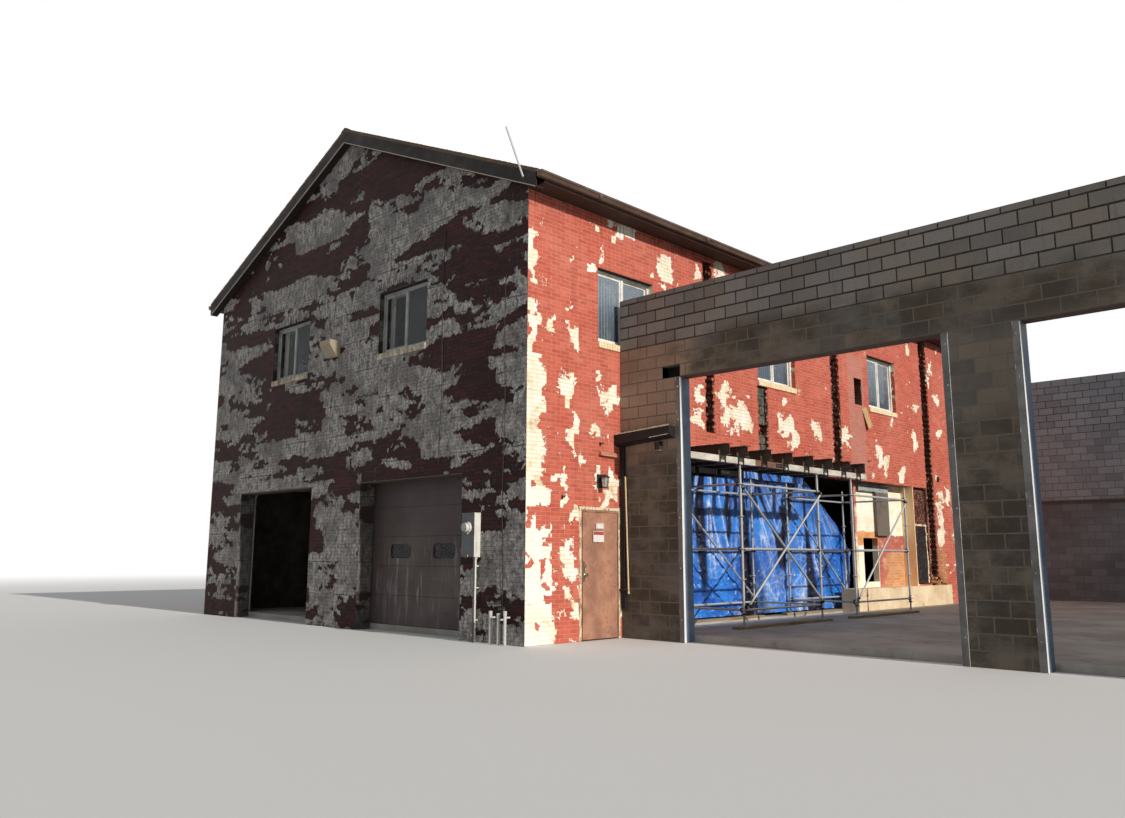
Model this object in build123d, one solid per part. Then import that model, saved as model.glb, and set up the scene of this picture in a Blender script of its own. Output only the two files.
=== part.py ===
"""Two-storey gabled brick fire station with an unfinished block-wall wing.

Lengths are in millimetres. While it is built, the model is measured from the
brick building's front right corner at ground level: X to the right, Y to the
back, Z up. At the end it is moved so that the origin is the middle of the
footprint on the ground.
"""
import os
from math import sqrt

from build123d import *

# Brick building
HOUSE_WIDTH = 10870
SIDE_BAYS = 4
BAY_LENGTH = 4950             # one window in each along the sides
WALL = 330                    # three wythes of brick
WYTHE = 110
EAVE_HEIGHT = 7250
ROOF_SLOPE = 0.455            # rise over run
SLAB = 100                    # ground floor and wing floor
UPPER_FLOOR_UNDERSIDE = 3400
FLOOR_DECK = 50
JOIST_DEPTH = 200
JOIST_WIDTH = 50
JOIST_SPACING = 1237.5

# Roof
DECK_DEPTH = 60               # shingles and boards, measured plumb
RAFTER_DEPTH = 290            # measured plumb
RAFTER_WIDTH = 50
RAFTER_SPACING = 1237.5
EAVE_OVERHANG = 350
RAKE_OVERHANG = 150
FASCIA = 25
RAKE_BOARD_DEPTH = 300
SOFFIT = 20
RIDGE_CAP_WIDTH = 260
RIDGE_CAP_DEPTH = 30
GUTTER_WIDTH = 115
GUTTER_BOTTOM = 75
GUTTER_DEPTH = 95
GUTTER_METAL = 4
GUTTER_DROP = 40              # gutter rim below the roof's edge
GUTTER_STEP = 52              # height of the step in its front
GUTTER_STEP_BACK = 12
GUTTER_STEP_RISE = 10
FIT = 0.3                     # gap of pieces that are seated but not fused

# Windows
WINDOW_WIDTH = 1500
WINDOW_HEAD = 6290
FRONT_WINDOW_SILL = 5110
SIDE_WINDOW_SILL = 4980
WINDOW_SETBACK = 100
WINDOW_FRAME_DEPTH = 80
WINDOW_FRAME_BAR = 55
WINDOW_PANE_DEPTHS = (24, 48)  # left and right pane behind the frame's face
GLASS = 6
SILL_HEIGHT = 115
SILL_PROUD = 30
FRONT_WINDOW_INSETS = (3395, 3410)    # window's middle from the left and right corner
SIDE_WINDOW_FIRST = 2410

# Vehicle bays in the front wall
BAY_WIDTH = 3030
BAY_HEAD = 2700
BAY_INSETS = (3015, 3070)     # bay's middle from the left and right corner
OPEN_BAY = 0                  # the left bay's door is raised
CLOSED_BAY = 1
BAY_LINTEL_HEIGHT = 14
BAY_LINTEL_PROUD = 12
DOOR_SECTIONS = 5
DOOR_SECTION_GAP = 4
DOOR_LAP = 45                 # how far the bay door laps behind the wall
DOOR_THICKNESS = 45
DOOR_SETBACK = 15             # bay door behind the wall's inner face
DOOR_LITE_WIDTH = 620
DOOR_LITE_HEIGHT = 260
DOOR_LITE_CORNER = 78
DOOR_LITE_OFFSET = 640        # each side of the door's centre
DOOR_LITE_SECTION = 2         # counted from the bottom, starting at 0
TRACK_WIDTH = 50
TRACK_DEPTH = 60
TRACK_RADIUS = 300
TRACK_RISE = 2860             # centre of the level run
TRACK_RUN = 3300
HANGER = 40
HANGER_PLACES = (1485, 3260)  # along the level run

# Side wall openings
SIDE_DOOR_START = 1180
SIDE_DOOR_END = 2170
SIDE_DOOR_HEAD = 2140
CUT_START = 3400              # wall cut away between here and the end
CUT_STEP = 9000
CUT_HIGH = 3270               # head over the needle beams
CUT_LOW = 3130                # head beyond them
CHASE_DEPTH = 200
BAY_CHASES = {                # by bay line: offset from it, width, foot, top
    1: (-60, 320, 3700, 7150),
    2: (-10, 420, 3400, 7150),
}
CHASED_WINDOW = 1             # counted from 0 at the front
WINDOW_CHASE = (-600, 400, 3440, 4860)         # offset from its middle, width, foot, top
HATCH_WINDOW = 2
HATCH = (-1295, 370, 4970, 5620)
TALL_CHASE_LINE = 3
TALL_CHASE_BEFORE = 250       # from its near edge to the bay line
TALL_CHASE_WIDTH = 480
CUT_SHORT_OF_CHASE = 850
RECESS_MARGIN = 30
RECESS_FOOT = 640
LEDGE_START = 10350
LEDGE_PAST_CHASE = 520
LEDGE_HEIGHT = 600
LEDGE_PROUD = 100
JAMB_BOARD = 25

# Steel side door
DOOR_FRAME_FACE = 50
DOOR_FRAME_DEPTH = 130
DOOR_FRAME_PROUD = 12
DOOR_STOP = 16
LEAF_THICKNESS = 44
LEAF_CLEARANCE = 7
LEAF_FOOT = 15
HINGE_RADIUS = 8
HINGE_LENGTH = 110
HINGE_HEIGHTS = (250, 1060, 1870)
KNOB_HEIGHT = 1040
KNOB_BACKSET = 65
KNOB_PROFILE = (              # radius and reach, from the rose to the knob's end
    (0, 0), (34, 0), (27, 9), (11, 11), (11, 30), (22, 36), (28, 46), (24, 58), (0, 62),
)
LOCK_HEIGHT = 1180
LOCK_RADIUS = 24
LOCK_DEPTH = 12

# Fittings on the walls
METER_BOX = (-1380, -1060, 130, 1320, 2020)    # left, right, depth, foot, top
METER_HEIGHT = 1790
METER_RADIUS = 85
METER_RING = 38               # depth of the ring round the glass
METER_GLASS_RADIUS = 73
METER_DEPTH = 95
CONDUIT_RADIUS = 28
CONDUIT_INSET = 50            # from the box's right side
WALL_LAMP = (-445, -65, 250, 5280, 5600)       # left and right of the ridge, depth, foot, top
WALL_LAMP_LIP = 90
SIDE_LAMP_MIDDLE = 1690
SIDE_LAMP_FOOT = 2450
SIDE_LAMP_PLATE = (160, 230, 25)               # width, height, depth
SIDE_LAMP_REACH = 118         # from the wall to the jar's axis
SIDE_LAMP_JAR = (45, 68, 180)                  # lower and upper radius, height
SIDE_LAMP_CAP = (82, 30, 60)                   # lower and upper radius, height
SIDE_LAMP_ARM = 36
MAST_FOOT_X = 70              # against the front barge board
MAST_LIFT = 152               # foot over the rafters' underside
MAST_LEAN = 430
MAST_RISE = 1010
MAST_RADIUS = 16

# Block wing
BLOCK_WALL = 244
BLOCK_FRONT = 2220            # front face of the wing, behind the brick corner
COURSE = 203.2
WING_BAY = 4320
WING_HEAD = 4267
WING_TOP = 5791
WING_REAR_TOP = 6502
PIER_BLOCKS = 1220
MIDDLE_BLOCKS = 812.8
JAMB_FACE = 90
JAMB_METAL = 8
POCKET_WIDTH = 366            # missing block beside the first head
POCKET_DEPTH = 146
HEAD_PLATE = 12
WING_LEDGER_HEIGHT = 2890
WING_LEDGER = 60
REAR_BAY_START = 3700

# Old gutter and downpipe left on the corner pier
OLD_GUTTER = (0, 1120, 3385, 3500)             # start, end, foot, rim
OLD_GUTTER_DEPTH = 120
OLD_GUTTER_LIP = 84           # width of its level foot
OLD_GUTTER_STEP = 58          # height where its front turns upright
DOWNPIPE_START = 35
DOWNPIPE_WIDTH = 80
DOWNPIPE_DEPTH = 52
DOWNPIPE_FOOT = 480
PIER_LAMP = (900, 1010, 90, 3260, 3385)        # start, end, depth, foot, top

# Shoring of the cut wall
NEEDLE_STARTS = (3560, 4120, 4880, 5620, 6380, 7120, 7860, 8500)
NEEDLE_DEPTH = 200
NEEDLE_FLANGE = 130
NEEDLE_METAL = 12
NEEDLE_OUT = 1330
NEEDLE_IN = 640
HEADER_ANGLE = (3440, 6540, 60, 110)           # start, end, proud, height
HEADER_STEPS = 3
HEADER_GAP = 20
STRINGER_WIDTH = 90
STRINGER_DEPTH = 110
STRINGER_START = 2640
STRINGER_END = 8860
TUBE = 24                     # radius of the scaffold tubes
ROW_OUT = 1130
ROW_IN = -410
TOWERS = ((4150, 6830), (8230, 10740))
LEDGER_HEIGHTS = (420, 1470, 2610)
BRACE_RADIUS = 20
BRACES = (                    # row, tower, whether it rises towards the rear
    (ROW_OUT, TOWERS[0], False), (ROW_IN, TOWERS[0], False),
    (ROW_OUT, TOWERS[1], True), (ROW_IN, TOWERS[1], False),
)
JACK_PLATE = 150
JACK_PLATE_HEIGHT = 10
JACK_RADIUS = 17
JACK_HEIGHT = 190
HEAD_PLATE_SIZE = 88
SILL_BOARD_WIDTH = 150
SILL_BOARD_HEIGHT = 45
SILL_BOARD_SPARE = 260

# Sheet hung in the cut
TARP_THICKNESS = 14
TARP_OUTLINE = (              # along the wall and up, from the foot round
    (3560, 170), (6000, 160), (8600, 170), (11050, 180), (11200, 1480),
    (10600, 2080), (9960, 2520), (9160, 3030), (6700, 3060), (6150, 2995),
    (5900, 2910), (3560, 2880),
)

# Lining behind the far end of the cut
INNER_WALL_FACE = -WALL
INNER_WALL = 150
INNER_WALL_SPAN = (11250, 14350)
INNER_HATCH = (11550, 12300, 730, 1790)
INNER_POST = (11000, 11120)
INNER_POST_DEPTH = 80
TRUNKING = (11250, 2930, 3080)
TRUNKING_DROP = (12150, 12820, 1850)
TRUNKING_DEPTH = 90

SIDES = ("front", "rear", "left", "right")
HOUSE_LENGTH = SIDE_BAYS * BAY_LENGTH
RIDGE_X = -HOUSE_WIDTH / 2
FRONT_WINDOW_CENTRES = (FRONT_WINDOW_INSETS[0] - HOUSE_WIDTH, -FRONT_WINDOW_INSETS[1])
SIDE_WINDOW_CENTRES = [SIDE_WINDOW_FIRST + n * BAY_LENGTH for n in range(SIDE_BAYS)]
BAY_CENTRES = (BAY_INSETS[0] - HOUSE_WIDTH, -BAY_INSETS[1])
TALL_CHASE_START = TALL_CHASE_LINE * BAY_LENGTH - TALL_CHASE_BEFORE
TALL_CHASE_END = TALL_CHASE_START + TALL_CHASE_WIDTH
CUT_END = TALL_CHASE_START - CUT_SHORT_OF_CHASE
LEDGE_END = TALL_CHASE_END + LEDGE_PAST_CHASE
ROOF_DEPTH = DECK_DEPTH + RAFTER_DEPTH
RAKE_OUT = RAKE_OVERHANG + FASCIA
WING_PIER = PIER_BLOCKS + JAMB_FACE
MIDDLE_PIER = MIDDLE_BLOCKS + 2 * JAMB_FACE
WING_BAYS = (WING_PIER, WING_PIER + WING_BAY + MIDDLE_PIER)
WING_WIDTH = 2 * (WING_PIER + WING_BAY) + MIDDLE_PIER
BLOCK_BACK = BLOCK_FRONT + BLOCK_WALL
STRINGER_TOP = CUT_HIGH - NEEDLE_DEPTH
STRINGER_FOOT = STRINGER_TOP - STRINGER_DEPTH


def span(middle, width):
    """Two values a width apart about a middle."""
    return middle - width / 2, middle + width / 2


def slab(x, y, z):
    """Box between two x, two y and two z values."""
    (x0, x1), (y0, y1), (z0, z1) = x, y, z
    size = (x1 - x0, y1 - y0, z1 - z0)
    return Pos((x0 + x1) / 2, (y0 + y1) / 2, (z0 + z1) / 2) * Box(*size)


def along_y(points, start, end):
    """Prism of an outline in x and z, from one y to another."""
    face = make_face(Polyline(*[(x, 0, z) for x, z in points], close=True))
    return Pos(0, start, 0) * extrude(face, amount=end - start, dir=(0, 1, 0))


def along_x(points, start, end):
    """Prism of an outline in y and z, from one x to another."""
    face = make_face(Polyline(*[(0, y, z) for y, z in points], close=True))
    return Pos(start, 0, 0) * extrude(face, amount=end - start, dir=(1, 0, 0))


def bar(start, end, radius):
    """Round bar between two points."""
    start, end = Vector(*start), Vector(*end)
    run = end - start
    plane = Plane(origin=start, z_dir=run.normalized())
    return plane * extrude(Circle(radius), amount=run.length)


def gather(shapes):
    """Several solids that share one node."""
    return Compound([solid for shape in shapes for solid in shape.solids()])


def rafter_line(x):
    """Underside of the rafters at a distance from the right wall's face."""
    return EAVE_HEIGHT + ROOF_SLOPE * (abs(RIDGE_X) - abs(x - RIDGE_X))


def turned(shape):
    """Copy of a piece turned half round about the middle of the brick building."""
    y = HOUSE_LENGTH / 2
    return Pos(RIDGE_X, y) * Rot(0, 0, 180) * Pos(-RIDGE_X, -y) * shape


def gable_outline(lift):
    """Gable outline whose slopes lie a given height over the rafters' underside."""
    return [(0, 0), (0, rafter_line(0) + lift), (RIDGE_X, rafter_line(RIDGE_X) + lift),
            (-HOUSE_WIDTH, rafter_line(-HOUSE_WIDTH) + lift), (-HOUSE_WIDTH, 0)]


def front_window_holes(y):
    return [slab(span(x, WINDOW_WIDTH), y, (FRONT_WINDOW_SILL - SILL_HEIGHT, WINDOW_HEAD))
            for x in FRONT_WINDOW_CENTRES]


def side_window_holes(x):
    return [slab(x, span(y, WINDOW_WIDTH), (SIDE_WINDOW_SILL - SILL_HEIGHT, WINDOW_HEAD))
            for y in SIDE_WINDOW_CENTRES]


def front_wall():
    wall = along_y(gable_outline(RAFTER_DEPTH), 0, WALL)
    bays = [slab(span(x, BAY_WIDTH), (-WALL, 2 * WALL), (0, BAY_HEAD)) for x in BAY_CENTRES]
    return wall - bays - front_window_holes((-WALL, 2 * WALL))


def rear_wall():
    wall = along_y(gable_outline(RAFTER_DEPTH), HOUSE_LENGTH - WALL, HOUSE_LENGTH)
    return wall - front_window_holes((HOUSE_LENGTH - 2 * WALL, HOUSE_LENGTH + WALL))


def side_wall(foot):
    """Side wall between the gable walls, its top cut to the roof's slope."""
    outline = [(0, foot), (0, rafter_line(0)), (-WALL, rafter_line(-WALL)), (-WALL, foot)]
    return along_y(outline, WALL, HOUSE_LENGTH - WALL)


def left_wall():
    return turned(side_wall(0) - side_window_holes((-2 * WALL, WALL)))


def chases():
    """Middle, width, foot and top of each short chase in the right wall."""
    places = [(line * BAY_LENGTH + offset, width, foot, top)
              for line, (offset, width, foot, top) in BAY_CHASES.items()]
    offset, width, foot, top = WINDOW_CHASE
    return places + [(SIDE_WINDOW_CENTRES[CHASED_WINDOW] + offset, width, foot, top)]


def right_wall_upper():
    """Wall over the cut, with its windows, chases and small hatch."""
    wall = side_wall(CUT_LOW) - side_window_holes((-2 * WALL, WALL))
    wall -= slab((-2 * WALL, WALL), (CUT_START, CUT_STEP), (0, CUT_HIGH))
    offset, width, foot, top = HATCH
    wall -= slab((-2 * WALL, WALL), span(SIDE_WINDOW_CENTRES[HATCH_WINDOW] + offset, width),
                 (foot, top))
    for y, width, foot, top in chases():
        wall -= slab((-CHASE_DEPTH, WALL), span(y, width), (foot, top))
    return wall - slab((-CHASE_DEPTH, WALL), (TALL_CHASE_START, TALL_CHASE_END),
                       (0, EAVE_HEIGHT + WALL))


def right_wall_rear_pier():
    """Wall beyond the cut: outer bricks gone by the jamb, and the tall chase."""
    pier = slab((-WALL, 0), (CUT_END, HOUSE_LENGTH - WALL), (0, CUT_LOW))
    pier -= slab((-WYTHE, WALL), (CUT_END + RECESS_MARGIN, TALL_CHASE_START),
                 (RECESS_FOOT, WALL + CUT_LOW))
    return pier - slab((-CHASE_DEPTH, WALL), (TALL_CHASE_START, TALL_CHASE_END),
                       (LEDGE_HEIGHT, CUT_LOW + WALL))


def base_ledge():
    """Concrete base under the cut, standing proud of the pier beyond."""
    under_cut = slab((-WALL, LEDGE_PROUD), (LEDGE_START, CUT_END), (0, LEDGE_HEIGHT))
    return under_cut + slab((0, LEDGE_PROUD), (LEDGE_START, LEDGE_END), (0, LEDGE_HEIGHT))


def ground_floor_slab():
    inside = (WALL - HOUSE_WIDTH, -WALL), (WALL, HOUSE_LENGTH - WALL), (0, SLAB)
    return slab(*inside)


def joist_row(spacing, start, end):
    count = int((end - start) / spacing)
    first = (start + end - (count - 1) * spacing) / 2
    return [first + n * spacing for n in range(count)]


def upper_floor():
    """Boarded floor on joists between the side walls."""
    x = WALL - HOUSE_WIDTH, -WALL
    top = UPPER_FLOOR_UNDERSIDE + JOIST_DEPTH
    floor = slab(x, (WALL, HOUSE_LENGTH - WALL), (top, top + FLOOR_DECK))
    for y in joist_row(JOIST_SPACING, WALL, HOUSE_LENGTH - WALL):
        floor += slab(x, span(y, JOIST_WIDTH), (UPPER_FLOOR_UNDERSIDE, top))
    return floor


def roof_right_slope():
    """Boarded deck on rafters whose tails are cut level over the soffit."""
    eave = EAVE_OVERHANG
    deck_foot, deck_top = RAFTER_DEPTH, ROOF_DEPTH
    deck = along_y([
        (RIDGE_X, rafter_line(RIDGE_X) + deck_foot), (RIDGE_X, rafter_line(RIDGE_X) + deck_top),
        (eave + FASCIA, rafter_line(eave + FASCIA) + deck_top),
        (eave + FASCIA, rafter_line(eave + FASCIA) + deck_foot),
    ], -RAKE_OUT, HOUSE_LENGTH + RAKE_OUT)
    tail = EAVE_HEIGHT + SOFFIT
    outline = [
        (RIDGE_X, rafter_line(RIDGE_X)), (RIDGE_X, rafter_line(RIDGE_X) + deck_foot),
        (eave, rafter_line(eave) + deck_foot), (eave, tail), (0, tail), (0, EAVE_HEIGHT),
    ]
    for y in joist_row(RAFTER_SPACING, WALL, HOUSE_LENGTH - WALL):
        deck += along_y(outline, *span(y, RAFTER_WIDTH))
    return deck


def ridge_cap():
    """Bent cap over the ridge."""
    half = RIDGE_CAP_WIDTH / 2
    top = rafter_line(RIDGE_X) + ROOF_DEPTH
    outline = [(RIDGE_X - half, top - half * ROOF_SLOPE), (RIDGE_X, top),
               (RIDGE_X + half, top - half * ROOF_SLOPE),
               (RIDGE_X + half, top - half * ROOF_SLOPE + RIDGE_CAP_DEPTH),
               (RIDGE_X, top + RIDGE_CAP_DEPTH),
               (RIDGE_X - half, top - half * ROOF_SLOPE + RIDGE_CAP_DEPTH)]
    return along_y(outline, -RAKE_OUT, HOUSE_LENGTH + RAKE_OUT)


def chevron(upper, lower, start, end):
    """Band that follows both slopes between two heights over the rafters' underside."""
    reach = EAVE_OVERHANG
    far = -HOUSE_WIDTH - reach
    outline = [(reach, rafter_line(reach) + upper), (RIDGE_X, rafter_line(RIDGE_X) + upper),
               (far, rafter_line(far) + upper), (far, rafter_line(far) + lower),
               (RIDGE_X, rafter_line(RIDGE_X) + lower), (reach, rafter_line(reach) + lower)]
    return along_y(outline, start, end)


def rake_front():
    """Barge board and its soffit, mitred at the ridge."""
    foot = ROOF_DEPTH - RAKE_BOARD_DEPTH
    board = chevron(RAFTER_DEPTH, foot, -RAKE_OUT, -RAKE_OVERHANG)
    return board + chevron(foot + SOFFIT, foot, -RAKE_OVERHANG, 0)


def eave_right():
    """Level soffit and fascia under the roof's edge."""
    deck_foot = rafter_line(EAVE_OVERHANG) + RAFTER_DEPTH
    fascia_foot = rafter_line(EAVE_OVERHANG + FASCIA) + RAFTER_DEPTH
    top = EAVE_HEIGHT + SOFFIT
    outline = [(0, EAVE_HEIGHT), (EAVE_OVERHANG + FASCIA, EAVE_HEIGHT),
               (EAVE_OVERHANG + FASCIA, fascia_foot), (EAVE_OVERHANG, deck_foot),
               (EAVE_OVERHANG, top), (0, top)]
    return along_y(outline, 0, HOUSE_LENGTH)


def gutter_right():
    """Open gutter with a stepped front, hung on the fascia."""
    back = EAVE_OVERHANG + FASCIA
    rim = rafter_line(back) + ROOF_DEPTH - GUTTER_DROP
    foot = rim - GUTTER_DEPTH
    metal = GUTTER_METAL
    front = back + GUTTER_WIDTH
    step = foot + GUTTER_STEP
    turn = front - GUTTER_STEP_BACK
    outer = [(back, rim), (back, foot), (back + GUTTER_BOTTOM, foot), (turn, step),
             (front, step + GUTTER_STEP_RISE), (front, rim)]
    inner = [(front - metal, rim), (front - metal, step + GUTTER_STEP_RISE + metal),
             (turn - metal, step + metal), (back + GUTTER_BOTTOM - metal, foot + metal),
             (back + metal, foot + metal), (back + metal, rim)]
    trough = along_y(outer + inner, -RAKE_OUT, HOUSE_LENGTH + RAKE_OUT)
    trough += along_y(outer, -RAKE_OUT, metal - RAKE_OUT)
    return trough + along_y(outer, HOUSE_LENGTH + RAKE_OUT - metal, HOUSE_LENGTH + RAKE_OUT)


def window_frame(width, height):
    """Slider frame with a centre bar; its outer face is at y = 0 and its foot at z = 0."""
    bar_width = WINDOW_FRAME_BAR
    frame = slab(span(0, width), (0, WINDOW_FRAME_DEPTH), (0, height))
    light = width / 2 - 1.5 * bar_width
    for side in (-1, 1):
        frame -= slab(span(side * (bar_width + light) / 2, light), (0, WINDOW_FRAME_DEPTH),
                      (bar_width, height - bar_width))
    return frame


def window_glass(width, height):
    """The two panes of one slider, one behind the other."""
    bar_width = WINDOW_FRAME_BAR
    light = width / 2 - 1.5 * bar_width
    panes = []
    for side, front in zip((-1, 1), WINDOW_PANE_DEPTHS):
        panes.append(slab(span(side * (bar_width + light) / 2, light), (front, front + GLASS),
                          (bar_width, height - bar_width)))
    return panes


def window_places(side):
    """Where each window of a wall stands, and its height."""
    if side in ("front", "rear"):
        height = WINDOW_HEAD - FRONT_WINDOW_SILL
        sill = FRONT_WINDOW_SILL
    else:
        height = WINDOW_HEAD - SIDE_WINDOW_SILL
        sill = SIDE_WINDOW_SILL
    if side == "front":
        places = [Pos(x, WINDOW_SETBACK, sill) for x in FRONT_WINDOW_CENTRES]
    elif side == "rear":
        places = [Pos(x, HOUSE_LENGTH - WINDOW_SETBACK, sill) * Rot(0, 0, 180)
                  for x in FRONT_WINDOW_CENTRES]
    elif side == "right":
        places = [Pos(-WINDOW_SETBACK, y, sill) * Rot(0, 0, 90) for y in SIDE_WINDOW_CENTRES]
    else:
        places = [Pos(-HOUSE_WIDTH + WINDOW_SETBACK, HOUSE_LENGTH - y, sill) * Rot(0, 0, -90)
                  for y in SIDE_WINDOW_CENTRES]
    return places, height


def window_frames(side):
    places, height = window_places(side)
    return gather([place * window_frame(WINDOW_WIDTH, height) for place in places])


def window_panes(side):
    places, height = window_places(side)
    return gather([place * pane for place in places
                   for pane in window_glass(WINDOW_WIDTH, height)])


def window_sills(side):
    """Brick-on-edge sills, a little proud of the wall."""
    places, _ = window_places(side)
    sill = slab(span(0, WINDOW_WIDTH), (-WINDOW_SETBACK - SILL_PROUD, WALL - WINDOW_SETBACK),
                (-SILL_HEIGHT, 0))
    wing = slab((0, WALL), (BLOCK_FRONT, BLOCK_BACK), (0, WING_TOP))
    return gather([place * sill - wing for place in places])


def bay_lintels():
    """Steel angles that carry the brick over the vehicle bays."""
    return gather([slab(span(x, BAY_WIDTH), (-BAY_LINTEL_PROUD, WALL),
                        (BAY_HEAD - BAY_LINTEL_HEIGHT, BAY_HEAD)) for x in BAY_CENTRES])


def door_width():
    return BAY_WIDTH + 2 * DOOR_LAP


def section_height():
    rise = BAY_HEAD + DOOR_LAP - SLAB - (DOOR_SECTIONS - 1) * DOOR_SECTION_GAP
    return rise / DOOR_SECTIONS


def door_lites(depth):
    """The two rounded lites of a section, from its outer face inwards."""
    outline = RectangleRounded(DOOR_LITE_WIDTH, DOOR_LITE_HEIGHT, DOOR_LITE_CORNER)
    return [extrude(Plane(origin=(side * DOOR_LITE_OFFSET, 0, section_height() / 2),
                          x_dir=(1, 0, 0), z_dir=(0, 1, 0)) * outline, amount=depth)
            for side in (-1, 1)]


def door_section(lites):
    """One section of a bay door, standing on z = 0 with its outer face at y = 0."""
    section = slab(span(0, door_width()), (0, DOOR_THICKNESS), (0, section_height()))
    if lites:
        section -= door_lites(DOOR_THICKNESS)
    return section


def closed_section_place(n):
    pitch = section_height() + DOOR_SECTION_GAP
    return Pos(BAY_CENTRES[CLOSED_BAY], WALL + DOOR_SETBACK, SLAB + n * pitch)


def closed_door():
    """Sections of the shut door, stacked behind the right bay."""
    return gather([closed_section_place(n) * door_section(n == DOOR_LITE_SECTION)
                   for n in range(DOOR_SECTIONS)])


def closed_door_glass():
    place = closed_section_place(DOOR_LITE_SECTION) * Pos(0, (DOOR_THICKNESS - GLASS) / 2, 0)
    return gather([place * pane for pane in door_lites(GLASS)])


def raised_door():
    """Sections of the open door, lying level between its tracks."""
    pitch = section_height() + DOOR_SECTION_GAP
    x = BAY_CENTRES[OPEN_BAY]
    start = WALL + TRACK_DEPTH + TRACK_RADIUS
    z = TRACK_RISE + DOOR_THICKNESS / 2
    turn = Rot(-90, 0, 0)
    return gather([Pos(x, start + n * pitch, z) * turn * door_section(n == DOOR_LITE_SECTION)
                   for n in range(DOOR_SECTIONS)])


def door_track(x):
    """Track up the wall, round the bend and back under the floor, with its hangers."""
    y = WALL + TRACK_DEPTH / 2
    bend_start = (x, y, TRACK_RISE - TRACK_RADIUS)
    bend_end = (x, y + TRACK_RADIUS, TRACK_RISE)
    rise = TRACK_RADIUS / sqrt(2)
    bend_middle = (x, bend_end[1] - rise, bend_start[2] + rise)
    path = Line((x, y, SLAB), bend_start)
    path += ThreePointArc(bend_start, bend_middle, bend_end)
    path += Line(bend_end, (x, y + TRACK_RUN, TRACK_RISE))
    profile = Plane(origin=(x, y, SLAB), z_dir=(0, 0, 1)) * Rectangle(TRACK_WIDTH, TRACK_DEPTH)
    track = sweep(profile, path=path)
    for back in HANGER_PLACES:
        track += slab(span(x, HANGER), (y + back - HANGER, y + back),
                      (TRACK_RISE, UPPER_FLOOR_UNDERSIDE + JOIST_DEPTH))
    return track


def bay_door_tracks():
    reach = door_width() / 2 + FIT + TRACK_WIDTH / 2
    return gather([door_track(x + side * reach) for x in BAY_CENTRES for side in (-1, 1)])


def side_door_frame():
    """Pressed steel frame with a stop behind the leaf."""
    y = SIDE_DOOR_START, SIDE_DOOR_END
    x_out = DOOR_FRAME_PROUD
    face = DOOR_FRAME_FACE
    frame = slab((x_out - DOOR_FRAME_DEPTH, x_out), y, (0, SIDE_DOOR_HEAD))
    frame -= slab((x_out - DOOR_FRAME_DEPTH, x_out), (y[0] + face, y[1] - face),
                  (0, SIDE_DOOR_HEAD - face))
    back = x_out - LEAF_THICKNESS - LEAF_CLEARANCE
    clear = face + DOOR_STOP
    stop = slab((back - DOOR_STOP, back), (y[0] + face, y[1] - face), (0, SIDE_DOOR_HEAD - face))
    stop -= slab((back - DOOR_STOP, back), (y[0] + clear, y[1] - clear),
                 (0, SIDE_DOOR_HEAD - clear))
    return frame + stop + hinge_barrels(0)


def hinge_axis():
    """Plan position of the side door's hinge pins."""
    return DOOR_FRAME_PROUD + HINGE_RADIUS, SIDE_DOOR_END - DOOR_FRAME_FACE - LEAF_CLEARANCE / 2


def hinge_barrels(half):
    """Lower (0) or upper (1) knuckles of the three hinges, with their flaps."""
    x, y = hinge_axis()
    length = HINGE_LENGTH / 2 - FIT
    knuckles = []
    for z in HINGE_HEIGHTS:
        foot = z - HINGE_LENGTH / 2 if half == 0 else z + FIT
        knuckle = Pos(x, y, foot + length / 2) * Cylinder(HINGE_RADIUS, length)
        flap = LEAF_CLEARANCE / 2 + HINGE_RADIUS * 2
        reach = (y, y + flap) if half == 0 else (y - flap, y)
        knuckle += slab((x - HINGE_RADIUS, x - HINGE_RADIUS / 2), reach, (foot, foot + length))
        knuckles.append(knuckle)
    return knuckles


def leaf_edges():
    face = DOOR_FRAME_FACE
    return SIDE_DOOR_START + face + LEAF_CLEARANCE, SIDE_DOOR_END - face - LEAF_CLEARANCE


def side_door_leaf():
    """Flush steel leaf with the moving halves of its hinges."""
    x_out = DOOR_FRAME_PROUD
    top = SIDE_DOOR_HEAD - DOOR_FRAME_FACE - LEAF_CLEARANCE
    leaf = slab((x_out - LEAF_THICKNESS, x_out), leaf_edges(), (LEAF_FOOT, top))
    return leaf + hinge_barrels(1)


def side_door_knob():
    """Knobs, roses and lock cylinder on both faces."""
    y = leaf_edges()[0] + KNOB_BACKSET
    profile = make_face(Polyline(*KNOB_PROFILE, close=True))
    knob = revolve(Rot(90, 0, 0) * profile, axis=Axis.Z)
    lock = extrude(Circle(LOCK_RADIUS), amount=LOCK_DEPTH)
    pieces = []
    for outward, face in ((1, DOOR_FRAME_PROUD), (-1, DOOR_FRAME_PROUD - LEAF_THICKNESS)):
        for shape, z in ((knob, KNOB_HEIGHT), (lock, LOCK_HEIGHT)):
            pieces.append(Plane(origin=(face, y, z), z_dir=(outward, 0, 0)) * shape)
    return gather(pieces)


def meter_box():
    """Steel box with a round meter in its door."""
    left, right, depth, foot, top = METER_BOX
    box = slab((left, right), (-depth, 0), (foot, top))
    plane = Plane(origin=((left + right) / 2, -depth, METER_HEIGHT), z_dir=(0, -1, 0))
    dial = extrude(plane * Circle(METER_RADIUS), amount=METER_RING)
    dial += extrude(plane * Circle(METER_GLASS_RADIUS), amount=METER_DEPTH)
    return box + dial


def meter_conduit():
    _, right, depth, foot, _ = METER_BOX
    x = right - CONDUIT_INSET
    return bar((x, -depth / 2, 0), (x, -depth / 2, foot), CONDUIT_RADIUS)


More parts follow.
